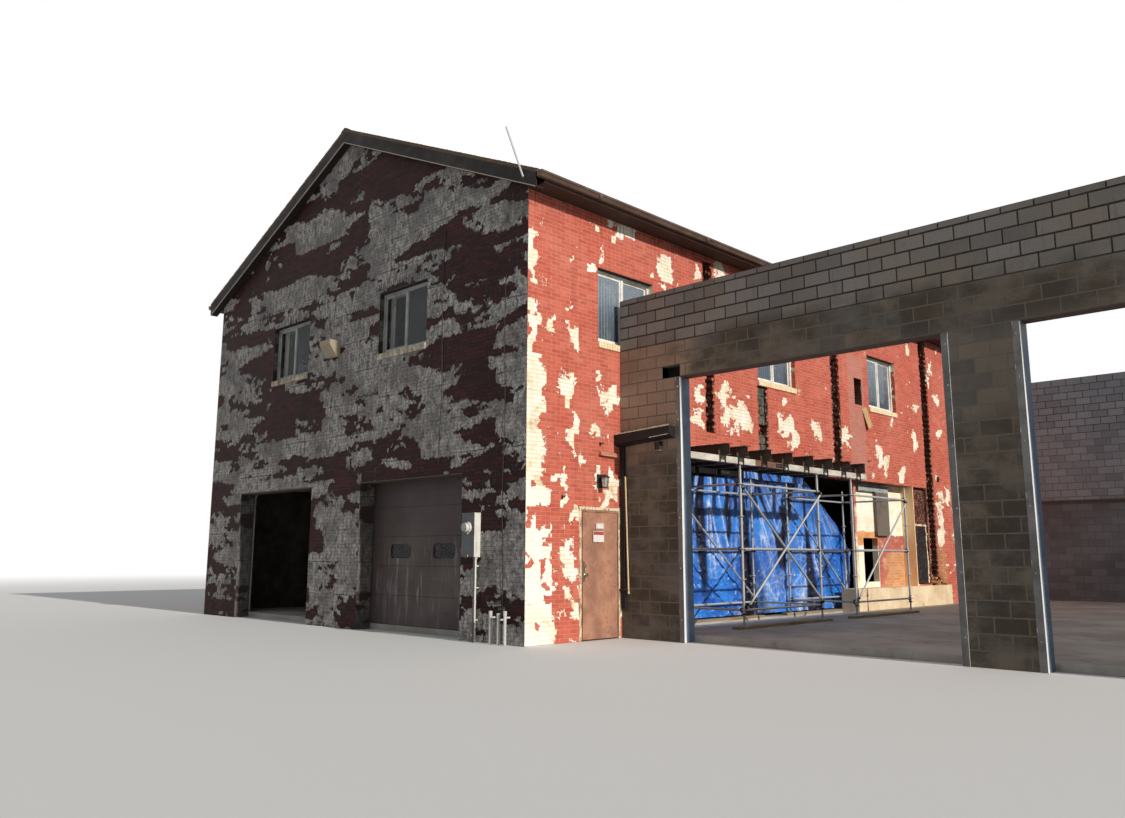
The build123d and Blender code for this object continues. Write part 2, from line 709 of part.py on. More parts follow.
def front_wall_lamp():
    """Wedge-shaped lamp: deep at the top, with a sloping lens below."""
    left, right, depth, foot, top = WALL_LAMP
    outline = [(0, foot), (-WALL_LAMP_LIP, foot), (-depth, top - WALL_LAMP_LIP), (-depth, top),
               (0, top)]
    return along_x(outline, RIDGE_X + left, RIDGE_X + right)


def side_wall_lamp():
    """Tapered jar under a cap, on an arm from its back plate."""
    y, axis = SIDE_LAMP_MIDDLE, SIDE_LAMP_REACH
    low, high, jar_height = SIDE_LAMP_JAR
    rim, crown, cap_height = SIDE_LAMP_CAP
    width, height, depth = SIDE_LAMP_PLATE
    cap_foot = SIDE_LAMP_FOOT + jar_height
    jar = Pos(axis, y, SIDE_LAMP_FOOT + jar_height / 2) * Cone(low, high, jar_height)
    cap = Pos(axis, y, cap_foot + cap_height / 2) * Cone(rim, crown, cap_height)
    plate_top = cap_foot + cap_height
    plate = slab((0, depth), span(y, width), (plate_top - height, plate_top))
    arm = slab((0, axis), span(y, SIDE_LAMP_ARM), span(cap_foot + cap_height / 2, SIDE_LAMP_ARM))
    return plate + arm + jar + cap


def roof_mast():
    y = -RAKE_OUT - MAST_RADIUS - FIT
    foot = rafter_line(MAST_FOOT_X) + MAST_LIFT
    return bar((MAST_FOOT_X, y, foot), (MAST_FOOT_X - MAST_LEAN, y, foot + MAST_RISE), MAST_RADIUS)


def block_pier(start, end):
    return slab((start, end), (BLOCK_FRONT, BLOCK_BACK), (0, WING_HEAD))


def pier_spans():
    """Left, middle and right piers of the wing's front, between their steel jambs."""
    web = JAMB_METAL
    first, second = WING_BAYS
    return ((0, first - web), (first + WING_BAY + web, second - web),
            (second + WING_BAY + web, WING_WIDTH))


def block_header():
    """Courses over the wing's bays, with one block missing beside the first."""
    header = slab((0, WING_WIDTH), (BLOCK_FRONT, BLOCK_BACK), (WING_HEAD, WING_TOP))
    pocket = WING_BAYS[0] - POCKET_WIDTH, WING_BAYS[0]
    return header - slab(pocket, (BLOCK_FRONT, BLOCK_FRONT + POCKET_DEPTH),
                         (WING_HEAD, WING_HEAD + COURSE))


def bay_jambs():
    """Steel channels that cap the pier ends beside the bays."""
    metal, face = JAMB_METAL, JAMB_FACE
    depth = (BLOCK_FRONT - metal, BLOCK_BACK + metal)
    jambs = []
    for bay in WING_BAYS:
        for edge, side in ((bay, -1), (bay + WING_BAY, 1)):
            web = sorted((edge, edge + side * metal))
            flange = sorted((edge, edge + side * face))
            jamb = slab(web, depth, (0, WING_HEAD - HEAD_PLATE))
            for y in ((depth[0], BLOCK_FRONT), (BLOCK_BACK, depth[1])):
                jamb += slab(flange, y, (0, WING_HEAD - HEAD_PLATE))
            jambs.append(jamb)
    return gather(jambs)


def bay_head_plates():
    """Steel plates under the heads, landing on the jambs."""
    return gather([
        slab((bay, bay + WING_BAY), (BLOCK_FRONT, BLOCK_BACK), (WING_HEAD - HEAD_PLATE, WING_HEAD))
        for bay in WING_BAYS])


def block_side_wall():
    """Outer side wall of the wing."""
    return slab((WING_WIDTH - BLOCK_WALL, WING_WIDTH), (BLOCK_BACK, HOUSE_LENGTH - BLOCK_WALL),
                (0, WING_TOP))


def block_rear_wall():
    """Rear wall of the wing, with one drive-through bay."""
    depth = HOUSE_LENGTH - BLOCK_WALL, HOUSE_LENGTH
    wall = slab((0, WING_WIDTH), depth, (0, WING_REAR_TOP))
    return wall - slab((REAR_BAY_START, REAR_BAY_START + WING_BAY), depth, (0, WING_HEAD))


def rear_ledger():
    """Steel angle along the rear wall, at the height of its first lift."""
    back = HOUSE_LENGTH - BLOCK_WALL
    return slab((0, REAR_BAY_START), (back - WING_LEDGER, back),
                (WING_LEDGER_HEIGHT, WING_LEDGER_HEIGHT + WING_LEDGER))


def wing_floor_slab():
    floor = slab((0, WING_WIDTH - BLOCK_WALL), (BLOCK_BACK + JAMB_METAL, HOUSE_LENGTH - BLOCK_WALL),
                 (0, SLAB))
    return floor - slab((0, LEDGE_PROUD), (LEDGE_START, LEDGE_END), (0, SLAB))


def old_gutter():
    """Length of gutter left on the corner pier, with closed ends."""
    start, end, foot, rim = OLD_GUTTER
    metal = GUTTER_METAL
    back, front = BLOCK_FRONT, BLOCK_FRONT - OLD_GUTTER_DEPTH
    lip, step = back - OLD_GUTTER_LIP, foot + OLD_GUTTER_STEP
    outer = [(back, rim), (back, foot), (lip, foot), (front, step), (front, rim)]
    inner = [(front + metal, rim), (front + metal, step), (lip + metal, foot + metal),
             (back - metal, foot + metal), (back - metal, rim)]
    gutter = along_x(outer + inner, start, end)
    return gutter + along_x(outer, start, start + metal) + along_x(outer, end - metal, end)


def corner_downpipe():
    """Rectangular pipe in the corner, under the old gutter."""
    return slab((DOWNPIPE_START, DOWNPIPE_START + DOWNPIPE_WIDTH),
                (BLOCK_FRONT - DOWNPIPE_DEPTH, BLOCK_FRONT), (DOWNPIPE_FOOT, OLD_GUTTER[2]))


def pier_lamp():
    """Small box lamp under the old gutter's right end."""
    start, end, depth, foot, top = PIER_LAMP
    return slab((start, end), (BLOCK_FRONT - depth, BLOCK_FRONT), (foot, top))


def needle_beam(y):
    """Steel beam through the wall, with flanges and a web."""
    metal, foot, top = NEEDLE_METAL, STRINGER_TOP, CUT_HIGH
    reach = -NEEDLE_IN, NEEDLE_OUT
    beam = slab(reach, span(y, metal), (foot, top))
    beam += slab(reach, span(y, NEEDLE_FLANGE), (foot, foot + metal))
    return beam + slab(reach, span(y, NEEDLE_FLANGE), (top - metal, top))


def needle_beams():
    return gather([needle_beam(y) for y in NEEDLE_STARTS])


def header_angles():
    """Steel angles along the cut bricks, in stepped lengths."""
    start, end, proud, height = HEADER_ANGLE
    length = (end - start) / HEADER_STEPS
    pieces = []
    for n in range(HEADER_STEPS):
        left = start + n * length
        pieces.append(slab((0, proud), (left, left + length - HEADER_GAP),
                           (CUT_HIGH, CUT_HIGH + height)))
    return gather(pieces)


def shoring_stringers():
    """Beams along both rows of posts, under the needles."""
    rows = ((ROW_OUT, STRINGER_START), (ROW_IN, CUT_START + FIT))
    return gather([slab(span(x, STRINGER_WIDTH), (start, STRINGER_END),
                        (STRINGER_FOOT, STRINGER_TOP)) for x, start in rows])


def post_places():
    return [(x, y) for tower in TOWERS for y in tower for x in (ROW_OUT, ROW_IN)]


def scaffold_posts():
    """Tubes with a jack and plate at the foot and a plate under the stringer."""
    posts = []
    for x, y in post_places():
        foot = SLAB + SILL_BOARD_HEIGHT
        carried = y < STRINGER_END
        top = STRINGER_FOOT if carried else STRINGER_FOOT - HEAD_PLATE_SIZE
        post = bar((x, y, foot + JACK_HEIGHT), (x, y, top - JACK_HEIGHT / 2), TUBE)
        post += bar((x, y, foot), (x, y, top), JACK_RADIUS)
        post += slab(span(x, JACK_PLATE), span(y, JACK_PLATE), (foot, foot + JACK_PLATE_HEIGHT))
        if carried:
            post += slab(span(x, HEAD_PLATE_SIZE), span(y, HEAD_PLATE_SIZE),
                         (top - JACK_PLATE_HEIGHT, top))
        posts.append(post)
    return gather(posts)


def scaffold_ledgers():
    """Level tubes along the wall, between the posts of each tower."""
    ledgers = []
    for near, far in TOWERS:
        for x in (ROW_OUT, ROW_IN):
            for z in LEDGER_HEIGHTS:
                ledgers.append(bar((x, near, z), (x, far, z), BRACE_RADIUS)
                               - tower_tubes(near, far))
    return gather(ledgers)


def tower_tubes(near, far):
    """Space taken by a tower's posts."""
    return [bar((x, y, 0), (x, y, STRINGER_TOP), TUBE)
            for x in (ROW_OUT, ROW_IN) for y in (near, far)]


def scaffold_transoms():
    """Level tubes through the wall, between the two rows of posts."""
    transoms = []
    for near, far in TOWERS:
        for y in (near, far):
            for z in LEDGER_HEIGHTS:
                if y > LEDGE_START and z < LEDGE_HEIGHT:
                    continue
                transoms.append(bar((ROW_IN, y, z), (ROW_OUT, y, z), BRACE_RADIUS)
                                - tower_tubes(near, far))
    return gather(transoms)


def scaffold_braces():
    """Sloping tubes clamped to the posts, on the side towards the wing."""
    offset = TUBE + BRACE_RADIUS
    low, _, high = LEDGER_HEIGHTS
    braces = []
    for row, (near, far), rises in BRACES:
        start, end = (low + offset, high - offset) if rises else (high - offset, low + offset)
        braces.append(bar((row + offset, near, start), (row + offset, far, end), BRACE_RADIUS))
    return gather(braces)


def sill_boards():
    """Timbers under the jacks, across each pair of posts."""
    boards = []
    for near, far in TOWERS:
        for x in (ROW_OUT, ROW_IN):
            boards.append(slab(span(x, SILL_BOARD_WIDTH),
                               (near - SILL_BOARD_SPARE, far + SILL_BOARD_SPARE),
                               (SLAB, SLAB + SILL_BOARD_HEIGHT)))
    return gather(boards)


def tarp():
    """Sheet that hangs from the inner stringer, its right edge pulled aside."""
    face = ROW_IN - STRINGER_WIDTH / 2 - FIT
    return along_x(TARP_OUTLINE, face - TARP_THICKNESS, face)


def inner_wall():
    """Lining behind the far end of the cut, with a hatch."""
    x = INNER_WALL_FACE - INNER_WALL, INNER_WALL_FACE
    wall = slab(x, INNER_WALL_SPAN, (SLAB, UPPER_FLOOR_UNDERSIDE))
    start, end, foot, top = INNER_HATCH
    return wall - slab(x, (start, end), (foot, top))


def inner_post():
    """Post from the base ledge to the wall over the cut."""
    return slab((-WALL, INNER_POST_DEPTH - WALL), INNER_POST, (LEDGE_HEIGHT, CUT_LOW))


def wall_trunking():
    """Grey casing along the lining, with a broad drop."""
    start, foot, top = TRUNKING
    x = INNER_WALL_FACE, INNER_WALL_FACE + TRUNKING_DEPTH
    drop_start, drop_end, drop_foot = TRUNKING_DROP
    return slab(x, (start, drop_end), (foot, top)) + slab(x, (drop_start, drop_end),
                                                          (drop_foot, foot))


def jamb_board():
    """Board against the cut's far jamb."""
    return slab((-WALL, 0), (CUT_END - JAMB_BOARD, CUT_END), (LEDGE_HEIGHT, CUT_LOW))


def build():
    """Every node of the model, by name."""
    left, middle, right = pier_spans()
    nodes = {
        "front_wall": front_wall(),
        "rear_wall": rear_wall(),
        "left_wall": left_wall(),
        "right_wall_upper": right_wall_upper(),
        "right_wall_corner": slab((-WALL, 0), (WALL, SIDE_DOOR_START), (0, CUT_LOW)),
        "right_wall_over_door": slab((-WALL, 0), (SIDE_DOOR_START, SIDE_DOOR_END),
                                     (SIDE_DOOR_HEAD, CUT_LOW)),
        "right_wall_pier": slab((-WALL, 0), (SIDE_DOOR_END, CUT_START), (0, CUT_LOW)),
        "right_wall_rear_pier": right_wall_rear_pier(),
        "base_ledge": base_ledge(),
        "ground_floor_slab": ground_floor_slab(),
        "upper_floor": upper_floor(),
        "roof_right_slope": roof_right_slope(),
        "roof_left_slope": turned(roof_right_slope()),
        "ridge_cap": ridge_cap(),
        "rake_boards": gather([rake_front(), turned(rake_front())]),
        "eaves": gather([eave_right(), turned(eave_right())]),
        "gutters": gather([gutter_right(), turned(gutter_right())]),
        "bay_lintels": bay_lintels(),
        "bay_door_right": closed_door(),
        "bay_door_left": raised_door(),
        "bay_door_tracks": bay_door_tracks(),
        "side_door_frame": side_door_frame(),
        "side_door_leaf": side_door_leaf(),
        "side_door_knob": side_door_knob(),
        "meter_box": meter_box(),
        "meter_conduit": meter_conduit(),
        "front_wall_lamp": front_wall_lamp(),
        "side_wall_lamp": side_wall_lamp(),
        "roof_mast": roof_mast(),
        "block_pier_left": block_pier(*left),
        "block_pier_middle": block_pier(*middle),
        "block_pier_right": block_pier(*right),
        "block_header": block_header(),
        "bay_jambs": bay_jambs(),
        "bay_head_plates": bay_head_plates(),
        "block_side_wall": block_side_wall(),
        "block_rear_wall": block_rear_wall(),
        "rear_ledger": rear_ledger(),
        "wing_floor_slab": wing_floor_slab(),
        "old_gutter": old_gutter(),
        "corner_downpipe": corner_downpipe(),
        "pier_lamp": pier_lamp(),
        "needle_beams": needle_beams(),
        "header_angles": header_angles(),
        "shoring_stringers": shoring_stringers(),
        "scaffold_posts": scaffold_posts(),
        "scaffold_ledgers": gather([scaffold_ledgers(), scaffold_transoms()]),
        "scaffold_braces": scaffold_braces(),
        "sill_boards": sill_boards(),
        "tarp": tarp(),
        "inner_wall": inner_wall(),
        "inner_post": inner_post(),
        "jamb_board": jamb_board(),
        "wall_trunking": wall_trunking(),
    }
    nodes["window_frames"] = gather([window_frames(side) for side in SIDES])
    nodes["window_glass"] = gather([window_panes(side) for side in SIDES] + [closed_door_glass()])
    nodes["window_sills"] = gather([window_sills(side) for side in SIDES])
    return nodes


def main():
    nodes = build()
    bounds = gather(nodes.values()).bounding_box()
    middle = bounds.center()
    home = Pos(-middle.X, -middle.Y, 0)
    os.makedirs("parts", exist_ok=True)
    for name, shape in nodes.items():
        export_step(gather([home * solid for solid in shape.solids()]), f"parts/{name}.step")
    hinge = hinge_axis()
    print(f"{len(nodes)} nodes")
    print(f"origin lies {middle.X:.3f}, {middle.Y:.3f} from the brick corner")
    print(f"hinge at {hinge[0] - middle.X:.3f}, {hinge[1] - middle.Y:.3f}")
    print(f"size {bounds.size.X:.1f} x {bounds.size.Y:.1f} x {bounds.size.Z:.1f}")


main()
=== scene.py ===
import math
import random
from functools import partial
from itertools import product

import bmesh
import bpy
from mathutils import Matrix, Vector, noise


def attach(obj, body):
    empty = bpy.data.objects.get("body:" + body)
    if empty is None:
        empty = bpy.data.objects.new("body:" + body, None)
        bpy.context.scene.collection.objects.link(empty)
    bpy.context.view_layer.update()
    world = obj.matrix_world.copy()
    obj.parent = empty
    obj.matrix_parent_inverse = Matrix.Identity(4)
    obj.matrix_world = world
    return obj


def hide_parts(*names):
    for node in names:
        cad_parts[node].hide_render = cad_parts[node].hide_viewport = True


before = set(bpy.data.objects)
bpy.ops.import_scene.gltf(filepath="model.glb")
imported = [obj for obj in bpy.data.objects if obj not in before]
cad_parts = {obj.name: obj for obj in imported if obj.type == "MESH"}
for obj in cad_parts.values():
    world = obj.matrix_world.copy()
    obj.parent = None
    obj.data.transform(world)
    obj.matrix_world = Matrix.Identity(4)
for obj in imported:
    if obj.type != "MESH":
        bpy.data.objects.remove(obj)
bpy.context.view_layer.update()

# Places are measured from the brick house's front right corner on the ground, in metres
corner = Vector((-0.4464, -9.8625, 0.0))

# Sizes that several pieces share
house = {"width": 10.87, "length": 19.8, "bay": 4.95, "eave": 7.25,
         "slope": 0.455, "course": 0.0677, "thick": 0.32, "firstWindow": 2.41, "wingFront": 2.22}


def tint(red, green, blue, alpha=1.0):
    # a colour as a paint chart gives it, 0 to 255, made linear
    return tuple(((part / 255 + 0.055) / 1.055) ** 2.4 if part
                 > 10 else part / 255 / 12.92 for part in (red, green, blue)) + (alpha,)


# Node helpers: they wire the tree that was started last

tree = shader = None


def startTree(nodeTree, shaderName):
    global tree, shader
    tree, shader = nodeTree, nodeTree.nodes[shaderName]


def newFinish(name, **sockets):
    material = bpy.data.materials.new(name)
    material.use_nodes = True
    startTree(material.node_tree, "Principled BSDF")
    for key, value in sockets.items():
        shader.inputs[key.replace("_", " ")].default_value = value
    return material


def fill(socket, value):
    if isinstance(value, bpy.types.NodeSocket):
        tree.links.new(value, socket)
    else:
        socket.default_value = value


def wire(kind, sockets=None, **settings):
    node = tree.nodes.new("ShaderNode" + kind)
    for key, value in settings.items():
        setattr(node, key, value)
    for key, value in (sockets or {}).items():
        fill(node.inputs[key], value)
    return node


def feed(socket, value):
    tree.links.new(value, shader.inputs[socket])


def relief(height, distance, strength=1.0):
    node = wire("Bump", {"Height": height, "Distance": distance, "Strength": strength})
    feed("Normal", node.outputs[0])


def finished(finish, colour, height, distance, strength, rough=None):
    feed("Base Color", colour)
    if rough is not None:
        feed("Roughness", rough)
    relief(height, distance, strength)
    return finish


def sums(operation, first, second=0.0, third=None):
    sockets = {0: first, 1: second}
    if third is not None:
        sockets[2] = third
    return wire("Math", sockets, operation=operation).outputs[0]


plus, minus, times, scaled, isAbove, isBelow, largest, magnitude, snapped = (
    # one helper for each sum
    partial(sums, kind) for kind in ("ADD", "SUBTRACT", "MULTIPLY", "MULTIPLY_ADD", "GREATER_THAN",
                                     "LESS_THAN", "MAXIMUM", "ABSOLUTE", "SNAP"))


def between(value, low, high, toLow=0.0, toHigh=1.0):
    return wire("MapRange", {"Value": value, "From Min": low, "From Max": high, "To Min": toLow,
                             "To Max": toHigh}, interpolation_type="SMOOTHSTEP").outputs[0]


def blend(factor, first, second, kind="MIX"):
    node = wire("Mix", data_type="RGBA", blend_type=kind)
    for index, value in ((0, factor), (6, first), (7, second)):
        fill(node.inputs[index], value)
    return node.outputs[2]


def veil(colour, cover, value, low, high, share=1.0):
    # cover comes over the colour as the value goes from low to high
    return blend(between(value, low, high, 0.0, share), colour, cover)


def stretched(vector, scale, shift=(0, 0, 0)):
    return wire("Mapping", {"Vector": vector, "Scale": scale, "Location": shift}).outputs[0]


def grain(vector, scale, detail=3.0, roughness=0.5, distortion=0.0):
    return wire("TexNoise", {"Vector": vector, "Scale": scale, "Detail": detail,
                             "Roughness": roughness, "Distortion": distortion}).outputs[0]


def wandering(vector, scale, detail, reach):
    # the vector, shaken by noise as far as reach says for each axis
    shake = wire("TexNoise",
                 {"Vector": vector, "Scale": scale, "Detail": detail, "Roughness": 0.6})
    off = wire("VectorMath", {0: shake.outputs["Color"], 1: (0.5, 0.5, 0.5)},
               operation="SUBTRACT").outputs[0]
    return wire("VectorMath", {0: off, 1: reach, 2: vector}, operation="MULTIPLY_ADD").outputs[0]


def stripes(vector, scale, direction="Y"):
    return wire("TexWave", {"Vector": vector, "Scale": scale, "Distortion": 0.0},
                wave_type="BANDS", bands_direction=direction).outputs["Fac"]


def split(vector):
    return wire("SeparateXYZ", {0: vector}).outputs


def joined(first, second):
    return wire("CombineXYZ", {0: first, 1: second}).outputs[0]


def painted(label):
    # a value that the mesh carries at each point
    return wire("Attribute", attribute_name=label).outputs["Fac"]


def cornerPoint():
    # object coordinates, counted from the house's front right corner
    place = wire("TexCoord").outputs["Object"]
    return stretched(place, (1, 1, 1), tuple(-corner))


def cornerParts():
    return split(cornerPoint())


def facingParts():
    return split(wire("NewGeometry").outputs["True Normal"])


def swapped(chosen, yes, no):
    return plus(times(yes, chosen), times(no, minus(1.0, chosen)))


def wallPoint():
    # along the wall, up, and zero: right for walls that face any side, and for level faces
    point, facing = cornerParts(), facingParts()
    along = swapped(isAbove(magnitude(facing[0]), 0.5), point[1], point[0])
    height = swapped(isAbove(magnitude(facing[2]), 0.7), point[1], point[2])
    return joined(along, height), along, height


# Mesh helpers: a heap gathers points, faces and a tone for each point

def newHeap():
    return {"points": [], "faces": [], "tones": []}


def newHeaps(count):
    return [newHeap() for _ in range(count)]


def addShape(heap, points, faces, tone=0.5):
    start = len(heap["points"])
    heap["points"] += [Vector(point) for point in points]
    heap["faces"] += [[start + index for index in face] for face in faces]
    heap["tones"] += [tone] * len(points)


def addBox(heap, low, high, tone=0.5, chamfer=0.0, turn=None):
    ends = (Vector(low), Vector(high))
    keys = list(product((0, 1), repeat=3))
    points = [Vector([ends[end][axis] for axis, end in enumerate(key)]) for key in keys]
    faces = [(0, 1, 3, 2), (4, 6, 7, 5), (0, 4, 5, 1), (2, 3, 7, 6), (0, 2, 6, 4), (1, 5, 7, 3)]
    if chamfer > 0:
        # each corner becomes three points, one for each face that meets there
        sharp, points, spots, faces = points, [], {}, []
        for key, tip in zip(keys, sharp):
            for axis in range(3):
                point = tip.copy()
                for other, end in enumerate(key):
                    if other != axis:
                        point[other] += -chamfer if end else chamfer
                spots[key, axis] = len(points)
                points.append(point)
            faces.append([spots[key, axis] for axis in range(3)])
        for axis in range(3):
            first, second = [other for other in range(3) if other != axis]

            def spot(end, a, b, side):
                key = [end] * 3
                key[first], key[second] = a, b
                return spots[tuple(key), side]

            for end in (0, 1):
                faces.append([spot(end, a, b, axis) for a, b in ((0, 0), (1, 0), (1, 1), (0, 1))])
            for a, b in product((0, 1), repeat=2):
                faces.append([spot(0, a, b, first), spot(1, a, b, first),
                              spot(1, a, b, second), spot(0, a, b, second)])
    if turn is not None:
        points = [turn @ point for point in points]
    addShape(heap, points, faces, tone)


def addPrism(heap, near, far, tone=0.5):
    # walls between two matching rings of points, and a cap on each
    count = len(near)
    faces = [[n, (n + 1) % count, count + (n + 1) % count, count + n] for n in range(count)]
    faces += [list(range(count))[::-1], list(range(count, 2 * count))]
    addShape(heap, list(near) + list(far), faces, tone)


def circle(radius, sides, height=0.0):
    return [Vector((radius * math.cos(step * math.tau / sides),
                    radius * math.sin(step * math.tau / sides), height)) for step in range(sides)]


def addTube(heap, start, end, radius, sides=14, tone=0.5, endRadius=None):
    start, end = Vector(start), Vector(end)
    turn = (end - start).to_track_quat("Z", "Y")
    near, far = [[place + turn @ point for point in circle(size, sides)]
                 for place, size in ((start, radius), (end, endRadius or radius))]
    addPrism(heap, near, far, tone)


def addLathe(heap, profile, place, sides=24, tone=0.5):
    # profile is radius and height; place is a matrix whose Z is the axis
    points = [place @ point for radius, height in profile
              for point in circle(radius, sides, height)]
    faces = [[row + step, row + (step + 1) % sides, row + sides + (step + 1) % sides,
              row + sides + step] for row in range(0, (len(profile) - 1) * sides, sides)
             for step in range(sides)]
    faces.append(list(range(sides))[::-1])
    faces.append(list(range(len(points) - sides, len(points))))
    addShape(heap, points, faces, tone)


def standing(place, facing):
    # matrix at a place with its Z turned to face a direction
    turn = Vector(facing).to_track_quat("Z", "Y").to_matrix().to_4x4()
    return Matrix.Translation(Vector(place)) @ turn


def emit(heap, name, finish, body="building", replaces=(), angle=32):
    mesh = bpy.data.meshes.new(name)
    mesh.from_pydata([point + corner for point in heap["points"]], [], heap["faces"])
    mesh.attributes.new("tone", "FLOAT", "POINT").data.foreach_set("value", heap["tones"])
    work = bmesh.new()
    work.from_mesh(mesh)
    bmesh.ops.recalc_face_normals(work, faces=work.faces)
    work.to_mesh(mesh)
    work.free()
    mesh.polygons.foreach_set("use_smooth", [True] * len(mesh.polygons))
    mesh.set_sharp_from_angle(angle=math.radians(angle))
    mesh.update()
    piece = bpy.data.objects.new(name, mesh)
    bpy.context.scene.collection.objects.link(piece)
    mesh.materials.append(finish)
    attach(piece, body)
    if replaces:
        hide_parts(*replaces)
    return piece


def dress(finish, *nodes):
    for name in nodes:
        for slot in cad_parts[name].material_slots:
            slot.material = finish


def report(stage):
    print("stage:", stage)


# The camera stands where the photograph was taken from

view = {"place": (9.9916, -19.6035, 1.347), "yaw": -44.4714,
        "pitch": 9.8235, "roll": 0.1118, "lens": 29.53, "shift": (-0.0037, -0.0117)}


def placeCamera(values):
    yaw, pitch, roll = (math.radians(values[key]) for key in ("yaw", "pitch", "roll"))
    ahead = Vector((math.sin(yaw) * math.cos(pitch), math.cos(yaw) * math.cos(pitch),
                    math.sin(pitch)))
    level = Vector((math.cos(yaw), -math.sin(yaw), 0))
    above = level.cross(ahead)
    right = math.cos(roll) * level + math.sin(roll) * above
    over = math.cos(roll) * above - math.sin(roll) * level
    turn = Matrix((right, over, -ahead)).transposed().to_4x4()
    data = bpy.data.cameras.new("viewpoint")
    data.sensor_width = 36
    data.lens = values["lens"]
    data.shift_x, data.shift_y = values["shift"]
    data.clip_end = 500
    camera = bpy.data.objects.new("viewpoint", data)
    camera.matrix_world = Matrix.Translation(values["place"]) @ turn
    bpy.context.scene.collection.objects.link(camera)
    bpy.context.scene.camera = camera


placeCamera(view)
bpy.context.scene.view_settings.view_transform = "Standard"

# A low soft sun from the wing's side, an even pale surround and a pale floor

daylight = {"sun": 3.3, "azimuth": -1.2, "elevation": 25.8,
            "softness": 0.9, "surround": (0.90, 0.95, 1.0, 1.0),
            "surroundStrength": 0.36, "floor": (0.66, 0.65, 0.635, 1.0),
            "floorRadius": 90.0, "fadeFrom": 26.0, "fadeTo": 60.0}


def seenDirectly():
    # 1 for what the camera sees, also in a mirror or through glass
    path = wire("LightPath").outputs
    return largest(largest(path["Is Camera Ray"], path["Is Glossy Ray"]),
                   path["Is Transmission Ray"])


def lay(cover, share, output):
    # the cover over the tree's own shader
    both = wire("MixShader", {0: share, 1: shader.outputs[0], 2: cover.outputs[0]})
    tree.links.new(both.outputs[0], tree.nodes[output].inputs["Surface"])


def lightScene(values):
    lamp = bpy.data.lights.new("lowSun", "SUN")
    lamp.energy = values["sun"]
    lamp.angle = math.radians(values["softness"])
    lamp.color = (1.0, 0.96, 0.90)
    sun = bpy.data.objects.new("lowSun", lamp)
    azimuth, elevation = math.radians(values["azimuth"]), math.radians(values["elevation"])
    level = math.cos(elevation)
    towards = Vector((level * math.cos(azimuth), level * math.sin(azimuth), math.sin(elevation)))
    sun.rotation_euler = towards.to_track_quat("Z", "Y").to_euler()
    bpy.context.scene.collection.objects.link(sun)
    world = bpy.data.worlds.new("paleSurround")
    bpy.context.scene.world = world
    world.use_nodes = True
    startTree(world.node_tree, "Background")
    shader.inputs["Color"].default_value = values["surround"]
    shader.inputs["Strength"].default_value = values["surroundStrength"]
    white = wire("Background", {"Color": (1, 1, 1, 1), "Strength": 1.0})
    lay(white, seenDirectly(), "World Output")
    finish = newFinish("paleFloor", Base_Color=values["floor"], Roughness=0.9)
    place = wire("TexCoord").outputs["Object"]
    reach = wire("VectorMath", {0: place}, operation="LENGTH").outputs["Value"]
    fade = between(reach, values["fadeFrom"], values["fadeTo"])
    glow = wire("Emission", {"Color": (1, 1, 1, 1), "Strength": 1.0})
    lay(glow, times(fade, seenDirectly()), "Material Output")
    mesh = bpy.data.meshes.new("paleFloor")
    rim = circle(values["floorRadius"], 96, -0.003)
    mesh.from_pydata(rim, [], [list(range(96))])
    mesh.materials.append(finish)
    floor = bpy.data.objects.new("paleFloor", mesh)
    bpy.context.scene.collection.objects.link(floor)


lightScene(daylight)
report("camera, light and floor")


# Finishes

def patches(flat, places, squeeze=0.8):
    # how far inside the nearest of the listed flaked patches a point is, 0 outside
    squeezed = stretched(flat, (1, squeeze, 1))
    field = None
    for along, height, radius in places:
        away = wire("VectorMath", {0: squeezed, 1: (along, height * squeeze, 0)},
                    operation="DISTANCE").outputs["Value"]
        near = scaled(away, -1 / radius, 1.0)
        field = near if field is None else largest(field, near)
    return field


def brickwork(flat, joint=0.006):
    # random number for each brick, and the joints, at true scale
    node = wire("TexBrick", {"Vector": flat, "Color1": (0, 0, 0, 1), "Color2": (1, 1, 1, 1),
                             "Mortar": (0.5, 0.5, 0.5, 1), "Scale": 1.0, "Mortar Size": joint,
                             "Mortar Smooth": 0.25, "Bias": 0.0, "Brick Width": 0.213,
                             "Row Height": house["course"]}, offset=0.5, squash=1.0)
    return wire("SeparateColor", {0: node.outputs["Color"]}).outputs[0], node.outputs["Fac"]


